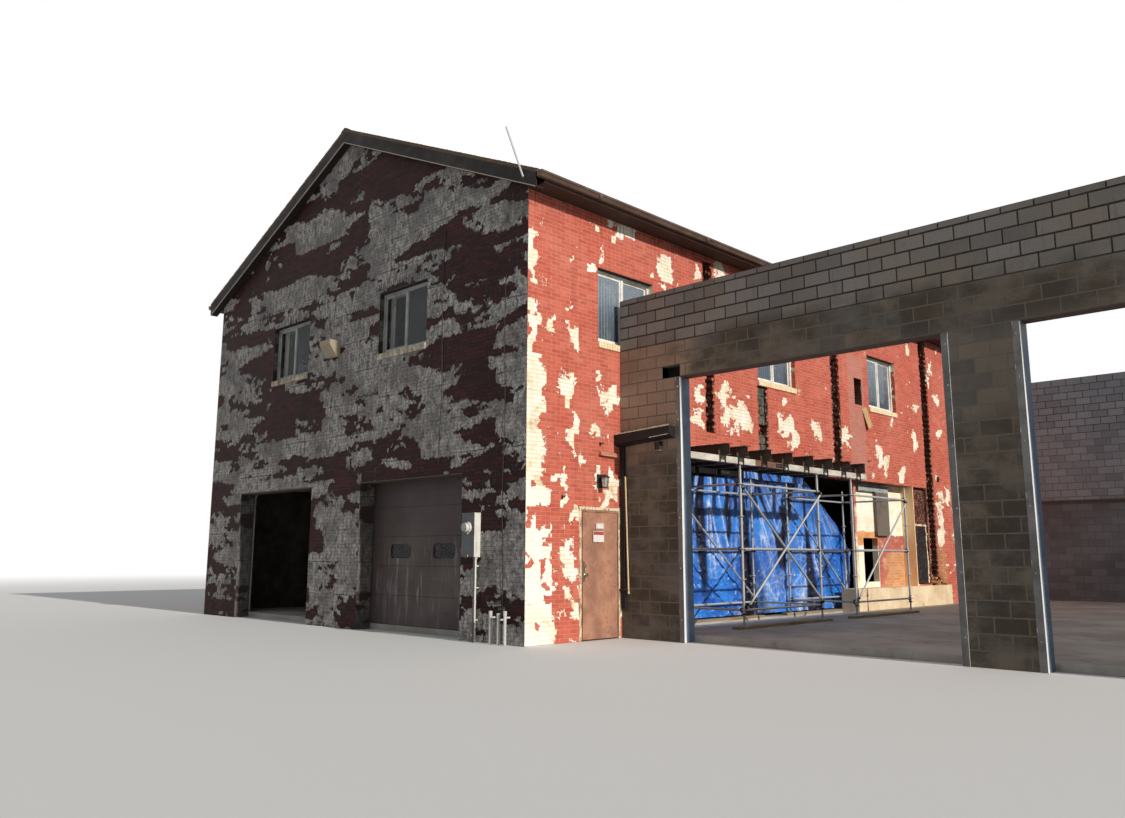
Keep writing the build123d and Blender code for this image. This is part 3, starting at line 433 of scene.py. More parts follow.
sidePaint = {"red": tint(202, 101, 81), "redDark": tint(160, 70, 56), "rosy": tint(222, 140, 118),
             "cream": tint(243, 228, 198), "creamWhite": tint(252, 247, 232),
             "tan": tint(196, 168, 128), "rawBrick": tint(112, 66, 54),
             "rawPale": tint(150, 130, 116), "jointTone": tint(226, 160, 138),
             "dusty": tint(186, 140, 126),
             # along the wall, height and radius of the larger flaked patches
             "flaked": [(0.02, 6.29, .22), (0.06, 6.01, .18), (0.04, 5.31, .19), (.10, 4.99, .18),
                        (.06, 4.74, .20), (.12, 4.29, .30), (.14, 4.02, .34), (.12, 3.70, .34),
                        (.10, 3.27, .32), (.10, 2.95, .30), (.10, 2.71, .30), (.14, 2.17, .32),
                        (.20, 1.78, .36), (.16, 1.29, .34), (.10, .81, .34), (.2, .40, .40),
                        (.06, 2.45, .3), (.08, 1.5, .3),
                        (2.02, 6.81, .15), (2.23, 7.07, .22), (2.48, 7.14, .20), (1.95, 7.20, .18),
                        (1.65, 6.92, .10), (3.49, 6.72, .30), (3.17, 6.50, .12), (1.74, 6.42, .16),
                        (1.43, 6.21, .13), (0.95, 6.19, .09), (3.51, 6.33, .12), (4.48, 6.83, .14),
                        (5.27, 7.10, .34), (1.97, 4.07, .36), (.85, 4.03, .30), (1.03, 3.54, .22),
                        (1.53, 3.53, .18), (1.07, 4.97, .22), (.53, 5.00, .16), (1.73, 4.37, .14),
                        (.99, 3.21, .20), (1.25, 3.02, .16), (.84, 2.58, .12), (.63, 2.59, .12),
                        (.88, 2.32, .12), (1.68, 2.68, .16), (2.06, 2.58, .18), (1.58, 2.5, .12),
                        (2.08, 2.36, .18), (1.86, 2.28, .20), (1.70, 2.20, .14), (1.12, 1.95, .15),
                        (.93, 1.44, .20), (.83, 1.10, .16), (1.05, 1.09, .15), (.86, .74, .18),
                        (1.03, .46, .18), (.5, .2, .2),
                        (2.3, 1.9, .2), (2.32, 1.2, .2), (2.3, .5, .22), (3.0, 3.9, .3),
                        (5.39, 4.47, .40), (5.95, 4.07, .44), (5.45, 4.0, .3), (4.52, 4.43, .22),
                        (4.50, 3.85, .28), (7.70, 4.11, .40), (8.95, 4.09, .26),
                        (7.94, 3.78, .26), (7.44, 4.16, .28), (7.61, 4.75, .18),
                        (10.23, 4.05, .34), (14.0, 4.31, .26), (13.19, 3.39, .26),
                        (14.21, 5.13, .22), (15.63, 4.73, .28), (15.26, 6.54, .26),
                        (15.08, 6.05, .2), (11.97, 3.85, .26), (13.86, 6.87, .26),
                        (15.55, 5.65, .24), (15.46, 2.95, .26),
                        (15.38, 2.55, .24), (15.40, 2.2, .24), (15.34, 1.8, .26), (15.95, 2.9, .2),
                        (15.3, 3.4, .16), (12.3, 3.6, .22), (15.9, 3.0, .3), (16.4, 1.9, .34),
                        (17.6, 2.6, .3), (18.9, 1.3, .36), (17.2, 4.3, .26), (19.2, 5.4, .3),
                        (18.4, 7.0, .24), (16.9, 6.7, .2), (19.4, 3.1, .34)],
             # patches of red that still hold in the corner strip
             "kept": [(.10, 1.94, .13), (.26, 1.92, .13), (.40, 1.94, .12), (.43, 1.60, .10),
                      (.33, 1.27, .11), (.28, 1.14, .08), (.05, 1.22, .10), (.44, 2.10, .09),
                      (.36, .92, .07), (.12, 2.36, .08), (.47, .62, .08), (.22, .30, .10)]}


def sideWallPaint(values, facts, faded=False):
    # red paint flaked from a cream undercoat: colour, roughness and relief
    # patch edges step with the courses, then wander like torn film
    flat, along, height, brick, joint = facts
    stepped = joined(snapped(along, 0.1065), snapped(height, house["course"]))
    stepped = wire("Mix", {0: 0.4, 4: flat, 5: stepped}, data_type="VECTOR").outputs[1]
    wander = wandering(stepped, 1.7, 5.0, (0.9, 0.9, 0))
    wanderAlong = plus(along, scaled(brick, 0.05, -0.025))
    near = largest(patches(wander, values["flaked"]), 0.0)
    torn = grain(stretched(wander, (1.0, 1.25, 1)), 3.0, 9.0, 0.62)
    field = scaled(torn, 3.4, -2.16)
    field = plus(field, times(near, 1.35))
    lower = between(height, 4.6, 0.8, 0.0, 0.17)
    nearCorner = between(along, 0.75, 0.05, 0.0, 0.3)
    nearCorner = times(nearCorner, between(height, 7.2, 4.4, 0.45, 1.0))
    field = plus(plus(field, lower), nearCorner)
    strip = times(between(along, 0.572, 0.56),
                  between(plus(height, times(torn, 0.5)), 2.72, 2.6, 0.0, 0.46))
    field = plus(field, strip)
    kept = largest(patches(wander, values["kept"]), 0.0)
    field = scaled(kept, -3.6, field)
    chips = grain(flat, 26.0, 4.0, 0.6)
    field = plus(field, scaled(chips, 0.5, -0.25))
    field = plus(field, scaled(brick, 0.16, -0.08))
    bare = between(field, 0.05, 0.13)
    # red paint: brick to brick shifts, faded rosy clouds, darker runs
    cloud = grain(flat, 0.9, 4.0, 0.6)
    red = veil(values["red"], values["rosy"], cloud, 0.35, 0.7, 0.5)
    red = blend(times(brick, 0.55), red, values["redDark"])
    runs = grain(stretched(flat, (5.0, 0.35, 1)), 1.6, 4.0, 0.6)
    red = veil(red, values["redDark"], runs, 0.5, 0.72, 0.5)
    red = blend(times(joint, 0.55), red, values["jointTone"])
    if faded:
        # a faded length over the cut, and bare tan brick at the foot beyond the door
        bareTan = blend(brick, tint(206, 146, 104), tint(168, 108, 76))
        for start, end, top, share, tone in ((10.52, 11.32, 6.17, 0.5, values["dusty"]),
                                             (15.1, 15.62, 1.57, 1.0, bareTan)):
            mask = times(between(wanderAlong, start - 0.03, start + 0.03),
                         between(wanderAlong, end + 0.04, end - 0.04))
            mask = times(mask, between(height, top + 0.04, top - 0.03, 0.0, share))
            red = blend(mask, red, tone)
    # what the flakes left: cream undercoat, whiter and dirtier in places
    stain = grain(flat, 2.3, 5.0, 0.7)
    cream = veil(values["creamWhite"], values["cream"], stain, 0.35, 0.62)
    dirty = times(between(stain, 0.54, 0.68), between(height, 4.8, 3.6, 0.25, 0.8))
    cream = blend(dirty, cream, values["tan"])
    cream = blend(times(joint, 0.28), cream, values["tan"])
    cream = blend(times(strip, between(height, 0.3, 0.7, 0.4, 1.3)), cream, tint(253, 248, 234))
    colour = blend(bare, red, cream)
    # thin dark edge where the paint film ends
    rim = minus(between(field, -0.03, 0.05), bare)
    colour = blend(times(rim, 0.35), colour, values["redDark"])
    streak = grain(stretched(flat, (9.0, 0.5, 1)), 2.0, 3.0, 0.6)
    grime = times(between(streak, 0.46, 0.68, 0.0, 0.6), between(height, 6.6, 7.25))
    colour = blend(grime, colour, tint(96, 60, 48))
    film = scaled(bare, -0.25, 0.0)
    pitted = scaled(grain(flat, 70.0, 3.0, 0.7), 0.18, film)
    return colour, scaled(bare, 0.16, 0.62), scaled(joint, -0.8, pitted)


def bareBrickInside(values, colour, brick, joint):
    # the cut chases show dusty brick, but the window reveals keep their paint
    point = cornerParts()
    bay = house["bay"]
    step = sums("FRACT", scaled(point[1], 1 / bay, (bay / 2 - house["firstWindow"]) / bay))
    inWindow = isBelow(magnitude(minus(step, 0.5)), 0.1535)
    inWindow = times(inWindow, isAbove(point[2], 4.864))
    inWindow = times(inWindow, isBelow(point[2], 6.295))
    deep = isBelow(point[0], -0.028)
    raw = times(deep, minus(1.0, inWindow))
    dust = grain(cornerPoint(), 5.0, 6.0, 0.7)
    inner = blend(times(brick, 0.6), values["rawBrick"], tint(70, 42, 36))
    inner = veil(inner, values["rawPale"], dust, 0.46, 0.7)
    inner = blend(times(joint, 0.6), inner, values["rawPale"])
    return blend(raw, colour, inner)


def roomsInside(colour):
    # the faces that look into the house are dusty plaster, kept dark as painted shade for the
    # unlit rooms
    point = cornerParts()
    mask = None
    thick = house["thick"]
    for axis, low, high in ((0, thick - house["width"], -thick),
                            (1, thick, house["length"] - thick)):
        for test in (isAbove(point[axis], low), isBelow(point[axis], high)):
            mask = test if mask is None else times(mask, test)
    dust = grain(cornerPoint(), 1.6, 6.0, 0.7)
    shadedPlaster = veil(tint(92, 84, 76), tint(58, 52, 48), dust, 0.35, 0.65)
    return blend(mask, colour, shadedPlaster)


# painted shade: the gable walls' maroon and grey are the side wall's red and cream made darker for
# the shade they stand in
shadedFrontPaint = {"maroon": tint(66, 32, 33), "maroonDark": tint(20, 10, 10),
              "maroonFaded": tint(86, 42, 42), "grey": tint(126, 122, 119),
              "greyPale": tint(196, 191, 186), "greyDark": tint(62, 57, 56),
              # rim is the painted highlight on torn edges
              "crackAndShade": tint(24, 18, 18), "rim": tint(236, 232, 226),
              "sheetWidth": 0.96, "sheetHeight": 0.61, "bareShare": 0.502}


def cellValue(vector):
    # one random number for each blocky cell
    node = wire("TexVoronoi", {"Vector": vector, "Scale": 1.0},
                voronoi_dimensions="2D", feature="F1", distance="CHEBYCHEV")
    return wire("SeparateColor", {0: node.outputs["Color"]}).outputs[0]


def shadedFrontWallPaint(values, facts):
    # maroon paint fallen in blocky sheets from a grey undercoat, ragged like drips at the foot;
    # the maroon and grey are the side wall's red and cream darkened as painted shade
    flat, along, height, brick, joint = facts
    wander = wandering(flat, 3.6, 6.0, (0.24, 0.1, 0))
    fingers = grain(stretched(flat, (10.0, 0.9, 1)), 1.3, 5.0, 0.7)
    parts = split(wander)
    drop = scaled(fingers, 0.2, parts[1])
    rows = times(snapped(drop, house["course"]), 0.6)
    rows = scaled(drop, 0.4, rows)
    place = joined(parts[0], rows)
    sheets = cellValue(stretched(place, (0.66, 2.3, 1)))
    scraps = cellValue(stretched(place, (1.6, 4.6, 1), (5.3, 2.1, 0)))
    chips = cellValue(stretched(place, (6.5, 10.0, 1), (1.7, 8.2, 0)))
    broad = grain(stretched(flat, (0.35, 0.5, 1)), 1.0, 2.0)
    field = scaled(sheets, 0.52, times(scraps, 0.34))
    field = plus(field, times(chips, 0.14))
    field = plus(field, scaled(broad, 0.9, -0.45 - values["bareShare"]))
    edge = between(along, -1.3, -0.1, 0.0, 0.16)
    low = between(height, 2.4, 0.4, 0.0, -0.05)
    low = scaled(between(height, 3.6, 2.6), between(along, -2.0, -1.3, 0.0, 0.11), low)
    field = plus(field, plus(edge, low))
    bare = between(field, -0.008, 0.012)
    seams = wire("TexBrick",
                 {"Vector": wander, "Scale": 1.0, "Mortar Size": 0.012, "Mortar Smooth": 0.6,
                  "Brick Width": values["sheetWidth"], "Row Height": values["sheetHeight"]},
                 offset=0.0, squash=1.0).outputs["Fac"]
    worn = grain(flat, 1.2, 5.0, 0.6)
    seams = times(seams, between(worn, 0.47, 0.56))
    cloud = grain(flat, 0.8, 4.0, 0.6)
    maroon = veil(values["maroon"], values["maroonFaded"], cloud, 0.42, 0.68, 0.7)
    maroon = blend(times(brick, 0.75), maroon, values["maroonDark"])
    maroon = blend(times(joint, 0.9), maroon, values["maroonDark"])
    speck = grain(flat, 34.0, 5.0, 0.7)
    maroon = veil(maroon, values["maroonDark"], speck, 0.5, 0.6, 0.8)
    maroon = veil(maroon, values["grey"], speck, 0.36, 0.28, 0.5)
    mottle = grain(flat, 6.5, 6.0, 0.7)
    runs = grain(stretched(wander, (9.0, 3.4, 1)), 1.5, 6.0, 0.75)
    grey = veil(values["greyDark"], values["grey"], mottle, 0.3, 0.54)
    grey = blend(times(between(runs, 0.4, 0.6), between(worn, 0.38, 0.56, 0.2, 1.0)),
                 grey, values["greyPale"])
    grey = veil(grey, values["greyDark"], speck, 0.5, 0.62, 0.8)
    grey = blend(times(joint, 0.3), grey, values["greyDark"])
    colour = blend(bare, maroon, grey)
    # painted highlight: bright specks where the grazing sun catches the torn edges of the
    # undercoat, near the edges and low on the right
    crumbs = times(between(grain(flat, 17.0, 5.0, 0.75), 0.57, 0.64),
                   between(chips, 0.35, 0.75, 0.15, 1.0))
    nearEdge = between(magnitude(field), 0.22, 0.02, 0.1, 1.0)
    grazingLit = scaled(between(along, -4.0, -0.4), 0.6, nearEdge)
    crumbs = times(crumbs, times(grazingLit, scaled(bare, 0.8, 0.08)))
    colour = blend(crumbs, colour, values["rim"])
    # painted shade: a dark band along the maroon side of each torn edge; the same dark colour also
    # marks the sheet seams
    shade = times(between(field, -0.05, -0.008), minus(1.0, bare))
    colour = blend(times(shade, 0.6), colour, values["crackAndShade"])
    colour = blend(times(seams, 0.75), colour, values["crackAndShade"])
    pitted = scaled(speck, 0.25, times(bare, -0.55))
    pitted = scaled(joint, -0.55, pitted)
    return colour, scaled(bare, 0.14, 0.62), scaled(seams, -0.6, pitted)


def houseWallFinish(name, kind):
    finish = newFinish(name, Specular_IOR_Level=0.12)
    flat, along, height = wallPoint()
    brick, joint = brickwork(flat)
    facts = (flat, along, height, brick, joint)
    if kind == "gable":
        colour, rough, high = shadedFrontWallPaint(shadedFrontPaint, facts)
        # the ends of the gable walls belong to the side walls' faces
        point = cornerParts()
        outer = largest(isAbove(point[0], -0.004), isBelow(point[0], 0.004 - house["width"]))
        # painted shade: the reveals of the gable's openings are darkened
        facing = facingParts()
        shadedReveal = isAbove(magnitude(facing[0]), 0.5)
        colour = blend(times(shadedReveal, 0.7), colour, shadedFrontPaint["greyDark"])
        colour = blend(outer, colour, sideWallPaint(sidePaint, facts)[0])
    else:
        colour, rough, high = sideWallPaint(sidePaint, facts, faded=kind == "cut")
    if kind == "cut":
        colour = bareBrickInside(sidePaint, colour, brick, joint)
    else:
        colour = roomsInside(colour)
    return finished(finish, colour, high, 0.007, 0.9, rough)


blockFace = {"pale": tint(140, 136, 133), "mid": tint(112, 109, 106), "dark": tint(92, 87, 83),
             "warm": tint(140, 126, 108), "damp": tint(66, 58, 48), "joint": tint(114, 106, 96),
             "bleached": tint(168, 146, 126), "jointDark": tint(58, 51, 46),
             "dampFoot": 4.25, "dampTop": 4.95, "upper": (4.84, 4.9)}
rearFace = {"pale": tint(150, 152, 153), "mid": tint(121, 123, 124), "dark": tint(97, 98, 99),
            "damp": tint(68, 69, 69), "joint": tint(114, 114, 116),
            "jointDark": tint(67, 66, 68), "upper": (4.84, 4.9),
            # painted skylight: how much cooler and brighter the face that looks into the wing is
            # made
            "skyLitInward": (1.12, 1.27, 1.38, 1.0)}


def blockFinish(name, values, rear=False):
    finish = newFinish(name, Roughness=0.92, Specular_IOR_Level=0.12)
    flat, along, height = wallPoint()
    point = cornerPoint()
    tone = painted("tone")
    cloud = grain(point, 0.9, 5.0, 0.6)
    colour = blend(tone, values["pale"], values["mid"])
    colour = veil(colour, values["pale" if rear else "warm"], cloud, 0.4, 0.66, 0.55)
    if not rear:
        upper = between(height, *values["upper"])
        lowTone = veil(values["mid"], values["dark"], cloud, 0.3, 0.7)
        lowTone = blend(times(tone, 0.55), lowTone, values["warm"])
        bleached = times(between(height, 2.7, 3.3), between(along, 1.7, 1.35))
        lowTone = blend(times(bleached, 0.75), lowTone, values["bleached"])
        colour = blend(upper, lowTone, colour)
        wet = grain(stretched(flat, (0.7, 1.0, 1)), 1.5, 6.0, 0.65)
        band = times(between(height, values["dampFoot"] - 0.25, values["dampFoot"] + 0.2),
                     between(height, values["dampTop"] + 0.22, values["dampTop"] - 0.2))
        band = times(band, between(wet, 0.36, 0.6))
        band = times(band, between(along, 0.9, 1.4, 0.35, 1.0))
        colour = blend(times(band, 0.75), colour, values["damp"])
        low = times(between(height, 3.45, 2.6), between(wet, 0.38, 0.58, 0.15, 1.0))
        colour = blend(times(low, 0.8), colour, values["damp"])
    else:
        low = between(height, 3.0, 2.85)
        colour = blend(times(low, 0.45), colour, values["damp"])
        facing = facingParts()
        skyLitInward = isBelow(facing[1], -0.5)
        colour = blend(skyLitInward, colour, values["skyLitInward"], "MULTIPLY")
    drip = grain(stretched(flat, (8.0, 0.7, 1)), 1.5, 4.0, 0.6)
    colour = veil(colour, values["dark"], drip, 0.56, 0.78, 0.45)
    pores = grain(point, 130.0, 2.0, 0.7)
    colour = veil(colour, values["damp"], pores, 0.52, 0.7, 0.5)
    feed("Base Color", colour)
    coarse = grain(point, 22.0, 4.0, 0.6)
    relief(scaled(pores, 0.6, coarse), 0.004, 0.8)
    return finish


def mortarFinish(name, values):
    finish = newFinish(name, Roughness=0.95, Specular_IOR_Level=0.1)
    height = wallPoint()[2]
    rough = grain(cornerPoint(), 30.0, 4.0, 0.7)
    upper = between(height, *values["upper"])
    front = blend(upper, values["joint"], values["jointDark"])
    colour = veil(front, values["dark"], rough, 0.35, 0.7, 0.6)
    return finished(finish, colour, rough, 0.004, 0.8)


def mineralFinish(name, pale, dark, stain, roughness=0.9, scale=1.0, bump=0.004):
    # concrete, plaster and the like: clouds, pits and hairline stains
    finish = newFinish(name, Roughness=roughness, Specular_IOR_Level=0.15)
    point = cornerPoint()
    cloud = grain(point, 0.8 * scale, 6.0, 0.65)
    colour = veil(pale, dark, cloud, 0.3, 0.7)
    spill = grain(point, 2.6 * scale, 7.0, 0.7, 0.6)
    colour = veil(colour, stain, spill, 0.55, 0.72, 0.6)
    grit = grain(point, 90.0, 3.0, 0.7)
    colour = veil(colour, dark, grit, 0.5, 0.72, 0.35)
    return finished(finish, colour, scaled(grit, 0.4, spill),
                    bump, 0.7, between(spill, 0.3, 0.7, roughness - 0.12, roughness))


def metalFinish(name, base, worn, rust, rustAmount=0.3, metallic=0.0, roughness=0.5, grime=0.35):
    # painted or bare steel: rust blooms, rubbed edges and runs of dirt
    finish = newFinish(name, Metallic=metallic, Specular_IOR_Level=0.3)
    point = cornerPoint()
    tone = grain(point, 3.0, 5.0, 0.6)
    colour = veil(base, worn, tone, 0.3, 0.7, grime)
    bloom = grain(point, 14.0, 6.0, 0.7)
    spots = between(bloom, 0.66 - 0.28 * rustAmount, 0.72 - 0.22 * rustAmount)
    deep = blend(grain(point, 60.0, 3.0, 0.6), rust,
                 tuple(part * 0.45 for part in rust[:3]) + (1.0,))
    colour = blend(times(spots, min(1.0, 0.4 + rustAmount)), colour, deep)
    return finished(finish, colour, plus(times(spots, 0.6), grain(point, 45.0, 3.0, 0.6)),
                    0.0015, 0.6, scaled(spots, 0.9 - roughness, roughness))


def timberFinish(name, pale, dark, weathered, along="Y"):
    finish = newFinish(name, Roughness=0.78, Specular_IOR_Level=0.2)
    point = cornerPoint()
    squeeze = {"X": (1.2, 22, 22), "Y": (22, 1.2, 22), "Z": (22, 22, 1.2)}[along]
    rings = grain(stretched(point, squeeze), 1.4, 6.0, 0.6, 1.2)
    fibre = grain(stretched(point, tuple(part * 3.5 for part in squeeze)), 2.0, 3.0, 0.6)
    colour = veil(pale, dark, rings, 0.32, 0.66)
    colour = veil(colour, weathered, grain(point, 1.3, 4.0, 0.6), 0.35, 0.65, 0.75)
    colour = veil(colour, dark, fibre, 0.5, 0.7, 0.4)
    return finished(finish, colour, scaled(fibre, 0.5, rings), 0.002, 0.7)


def enamelFinish(name, base, streaked, dusty, roughness=0.35, streakAmount=0.5):
    # sprayed or factory-coated sheet: dust on ledges, thin runs, faint orange peel
    finish = newFinish(name, Specular_IOR_Level=0.3)
    flat = wallPoint()[0]
    point = cornerPoint()
    runs = grain(stretched(flat, (16.0, 0.8, 1)), 1.4, 5.0, 0.6)
    dust = grain(point, 2.4, 6.0, 0.7)
    colour = veil(base, streaked, runs, 0.48, 0.75, streakAmount)
    colour = veil(colour, dusty, dust, 0.45, 0.72, 0.5)
    return finished(finish, colour, grain(point, 120.0, 2.0, 0.5),
                    0.0006, 0.5, between(dust, 0.3, 0.75, roughness, roughness + 0.3))


def bayDoorFinish(name):
    finish = newFinish(name, Specular_IOR_Level=0.2)
    flat, _, height = wallPoint()
    cloud = grain(flat, 1.1, 5.0, 0.6)
    colour = veil(tint(68, 59, 58), tint(90, 79, 77), height, 3.0, 0.9)
    colour = veil(colour, tint(70, 60, 60), cloud, 0.35, 0.65, 0.6)
    # pale wash marks run down below the lites
    runs = grain(stretched(flat, (5.5, 0.55, 1)), 1.6, 6.0, 0.68)
    reach = times(between(height, 1.75, 1.35), between(height, 0.1, 0.7, 0.35, 1.0))
    colour = blend(times(reach, between(runs, 0.52, 0.72, 0.0, 0.6)), colour, tint(178, 172, 172))
    grit = grain(flat, 60.0, 3.0, 0.7)
    colour = veil(colour, tint(70, 58, 56), grit, 0.52, 0.72, 0.3)
    feed("Base Color", colour)
    feed("Roughness", between(cloud, 0.3, 0.7, 0.42, 0.62))
    # faint pressed grain and two shallow ribs in each section
    rib = stripes(flat, 1.2)
    relief(scaled(grit, 0.15, between(rib, 0.9, 0.97)), 0.003, 0.6)
    return finish


def frameFinish(name):
    # white vinyl; on the two gable walls it is greyed as painted shade
    finish = newFinish(name, Specular_IOR_Level=0.3)
    flat = wallPoint()[0]
    parts = cornerParts()
    away = magnitude(plus(parts[0], house["width"] / 2))
    side = isAbove(away, 5.0)
    dust = grain(cornerPoint(), 4.0, 6.0, 0.7)
    white = veil(tint(236, 234, 226), tint(208, 202, 188), dust, 0.42, 0.66)
    # painted shade: the grey of the gable frames
    grey = veil(tint(158, 160, 158), tint(126, 126, 122), dust, 0.42, 0.66)
    colour = blend(side, grey, white)
    runs = grain(stretched(flat, (18.0, 1.0, 1)), 1.6, 5.0, 0.65)
    colour = veil(colour, tint(132, 124, 110), runs, 0.52, 0.72, 0.5)
    return finished(finish, colour, dust, 0.0008, 0.5, between(dust, 0.3, 0.7, 0.34, 0.6))


def facedFinish(name, side, front, edge=None):
    # sheet metal with light and shade painted by the way it faces: one colour for faces turned
    # sideways, one for faces turned to the front; each colour is (main, worn)
    finish = newFinish(name, Metallic=0.1, Specular_IOR_Level=0.3, Roughness=0.5)
    flat, along, _ = wallPoint()
    facing = facingParts()
    frontShaded = isAbove(magnitude(facing[1]), 0.6)
    cloud = between(grain(cornerPoint(), 2.6, 5.0, 0.65), 0.35, 0.65)
    across = blend(cloud, *side)
    if edge:
        # painted highlight: a bright sunlit strip along the opening's outer corner
        place, sunlitStrip = edge
        across = veil(across, sunlitStrip, along, place + 0.006, place - 0.006)
    colour = blend(frontShaded, across, blend(cloud, *front))
    runs = grain(stretched(flat, (20.0, 0.8, 1)), 1.4, 5.0, 0.65)
    colour = veil(colour, tint(96, 88, 82), runs, 0.52, 0.74, 0.5)
    rust = grain(cornerPoint(), 13.0, 6.0, 0.7)
    colour = veil(colour, tint(120, 78, 54), rust, 0.64, 0.7, 0.6)
    return finished(finish, colour, plus(rust, runs), 0.0015, 0.6)


paintSide = houseWallFinish("flakedRedOnCream", "cut")
paintLeft = houseWallFinish("flakedRedOnCreamLeft", "plain")
shadedPaintFront = houseWallFinish("flakedMaroonOnGreyShaded", "gable")
blockTone = blockFinish("blockFace", blockFace)
blockToneRear = blockFinish("blockFaceRear", rearFace, rear=True)
blockMortar = mortarFinish("blockMortar", blockFace)
rearMortar = mortarFinish("rearMortar", rearFace)
slabTone = mineralFinish("trowelledSlab", tint(186, 182, 176),
                         tint(150, 144, 136), tint(116, 104, 92))
ledgeTone = mineralFinish("baseConcrete", tint(240, 220, 186),
                          tint(214, 186, 148), tint(158, 126, 100), scale=2.0, bump=0.008)
timberTone = timberFinish("weatheredBoards", tint(176, 146, 108),
                          tint(124, 98, 72), tint(146, 134, 120))
# painted light: the board faces away from the sun, so its colour is raised near white to read as
# sunlit
jambBoardSunlitTone = timberFinish("tanJambBoardPaintedSunlit", tint(255, 232, 190),
                             tint(248, 210, 160), tint(252, 222, 180), along="Z")
joistTone = timberFinish("darkJoists", tint(122, 96, 70), tint(82, 62, 46),
                         tint(90, 80, 70), along="X")
brownTone = enamelFinish("darkBrownTrim", tint(34, 27, 27),
                         tint(22, 17, 17), tint(50, 43, 41), roughness=0.6)
eavesTone = enamelFinish("brownEaves", tint(62, 50, 44), tint(38, 30, 27),
                         tint(84, 72, 64), roughness=0.6)
whiteTone = frameFinish("whiteVinyl")
needleTone = metalFinish("rustySteel", tint(92, 80, 72), tint(62, 56, 52),
                         tint(112, 76, 58), rustAmount=0.45, metallic=0.15, roughness=0.7)
tubeTone = metalFinish("galvanisedTube", tint(198, 198, 194), tint(142, 142, 140),
                       tint(126, 92, 70), rustAmount=0.14, metallic=0.35, roughness=0.45)
# painted light and shade: the jamb's reveals are blue-grey and its front grey as shaded faces,
# with a painted sunlit strip at the opening's outer corner
jambTone = facedFinish("primedJambLitAndShaded", (tint(118, 134, 154), tint(96, 113, 134)),
                       (tint(122, 120, 120), tint(92, 90, 90)), (2.262, tint(236, 236, 230)))
doorTone = metalFinish("brownDoorPaint", tint(184, 136, 110), tint(142, 102, 84),
                       tint(178, 104, 66), rustAmount=0.34, roughness=0.5, grime=0.9)
bayDoorTone = bayDoorFinish("fadedBayDoor")
hardwareTone = metalFinish("brushedHardware", tint(176, 168, 150), tint(120, 112, 98),
                           tint(110, 76, 52), rustAmount=0.1, metallic=0.9, roughness=0.32)
# painted light and shade: the meter's sides are bright as sunlit, its front dark as shade
meterTone = facedFinish("greyEnamelLitAndShaded", (tint(226, 222, 212), tint(204, 200, 190)),
                        (tint(96, 97, 102), tint(78, 79, 84)))
bronzeTone = enamelFinish("lampBronze", tint(62, 54, 48), tint(40, 35, 32),
                          tint(104, 96, 86), roughness=0.42)
beigeTone = enamelFinish("lampBeige", tint(158, 142, 122), tint(104, 92, 80),
                         tint(188, 174, 150), roughness=0.5)


def glassFinish(name):
    # thin panes: see-through film with dust; the side panes hold more of the sky as a painted
    # reflection, paler higher up, and the gable panes are painted dark as shade
    finish = newFinish(name, IOR=1.5)
    point = cornerPoint()
    parts = split(point)
    away = magnitude(plus(parts[0], house["width"] / 2))
    side = isAbove(away, 5.22)
    smear = grain(point, 5.0, 5.0, 0.7)
    fade = between(parts[2], 5.1, 6.2)
    paintedSky = blend(fade, tint(104, 118, 134), tint(160, 174, 188))
    colour = blend(side, tint(34, 38, 40), paintedSky)
    colour = blend(times(between(smear, 0.5, 0.72, 0.0, 0.4), scaled(side, 0.7, 0.3)),
                   colour, tint(176, 178, 172))
    feed("Base Color", colour)
    cover = scaled(side, 0.14, 0.24)
    feed("Alpha", plus(cover, between(smear, 0.5, 0.75, 0.0, 0.2)))
    feed("Roughness", between(smear, 0.45, 0.75, 0.03, 0.2))
    relief(grain(point, 1.1, 2.0, 0.5), 0.002, 0.25)
    return finish


def liningFinish(name):
    # cream paint over brick: orange and pink below, bare tan brick at the foot
    finish = newFinish(name, Roughness=0.85, Specular_IOR_Level=0.12)
    flat, along, height = wallPoint()
    brick, joint = brickwork(flat)
    worn = grain(flat, 3.0, 6.0, 0.65)
    ragged = plus(height, scaled(worn, 0.16, -0.08))
    right = between(along, 12.3, 12.34)
    cream = veil(tint(255, 250, 232), tint(242, 230, 200), worn, 0.4, 0.65)
    orange = veil(tint(236, 172, 118), tint(214, 146, 96), worn, 0.4, 0.6)
    pink = blend(times(brick, 0.6), tint(196, 116, 100), tint(160, 86, 76))
    pink = veil(pink, tint(226, 194, 168), worn, 0.52, 0.68, 0.8)
    tan = blend(times(brick, 0.7), tint(216, 160, 112), tint(186, 128, 90))
    tan = blend(times(joint, 0.5), tan, tint(226, 190, 152))
    # the pink thins out towards the right and the foot
    thin = scaled(worn, 1.1, scaled(along, 0.9, -12.05))
    thin = between(scaled(height, -0.35, thin), -0.62, -0.22)
    tan = blend(thin, pink, tan)
    left = veil(cream, orange, ragged, 1.58, 1.62)
    low = veil(tan, pink, ragged, 1.42, 1.46)
    low = blend(right, left, low)
    edge = scaled(right, -0.08, 1.94)
    colour = veil(low, cream, minus(ragged, edge), -0.012, 0.012)
    dirt = grain(stretched(flat, (6, 0.8, 1)), 1.6, 5.0, 0.65)
    colour = veil(colour, tint(150, 118, 94), dirt, 0.56, 0.78, 0.4)
    return finished(finish, colour, scaled(joint, -0.5, worn), 0.004, 0.8)


plasterTone = liningFinish("paintedLining")


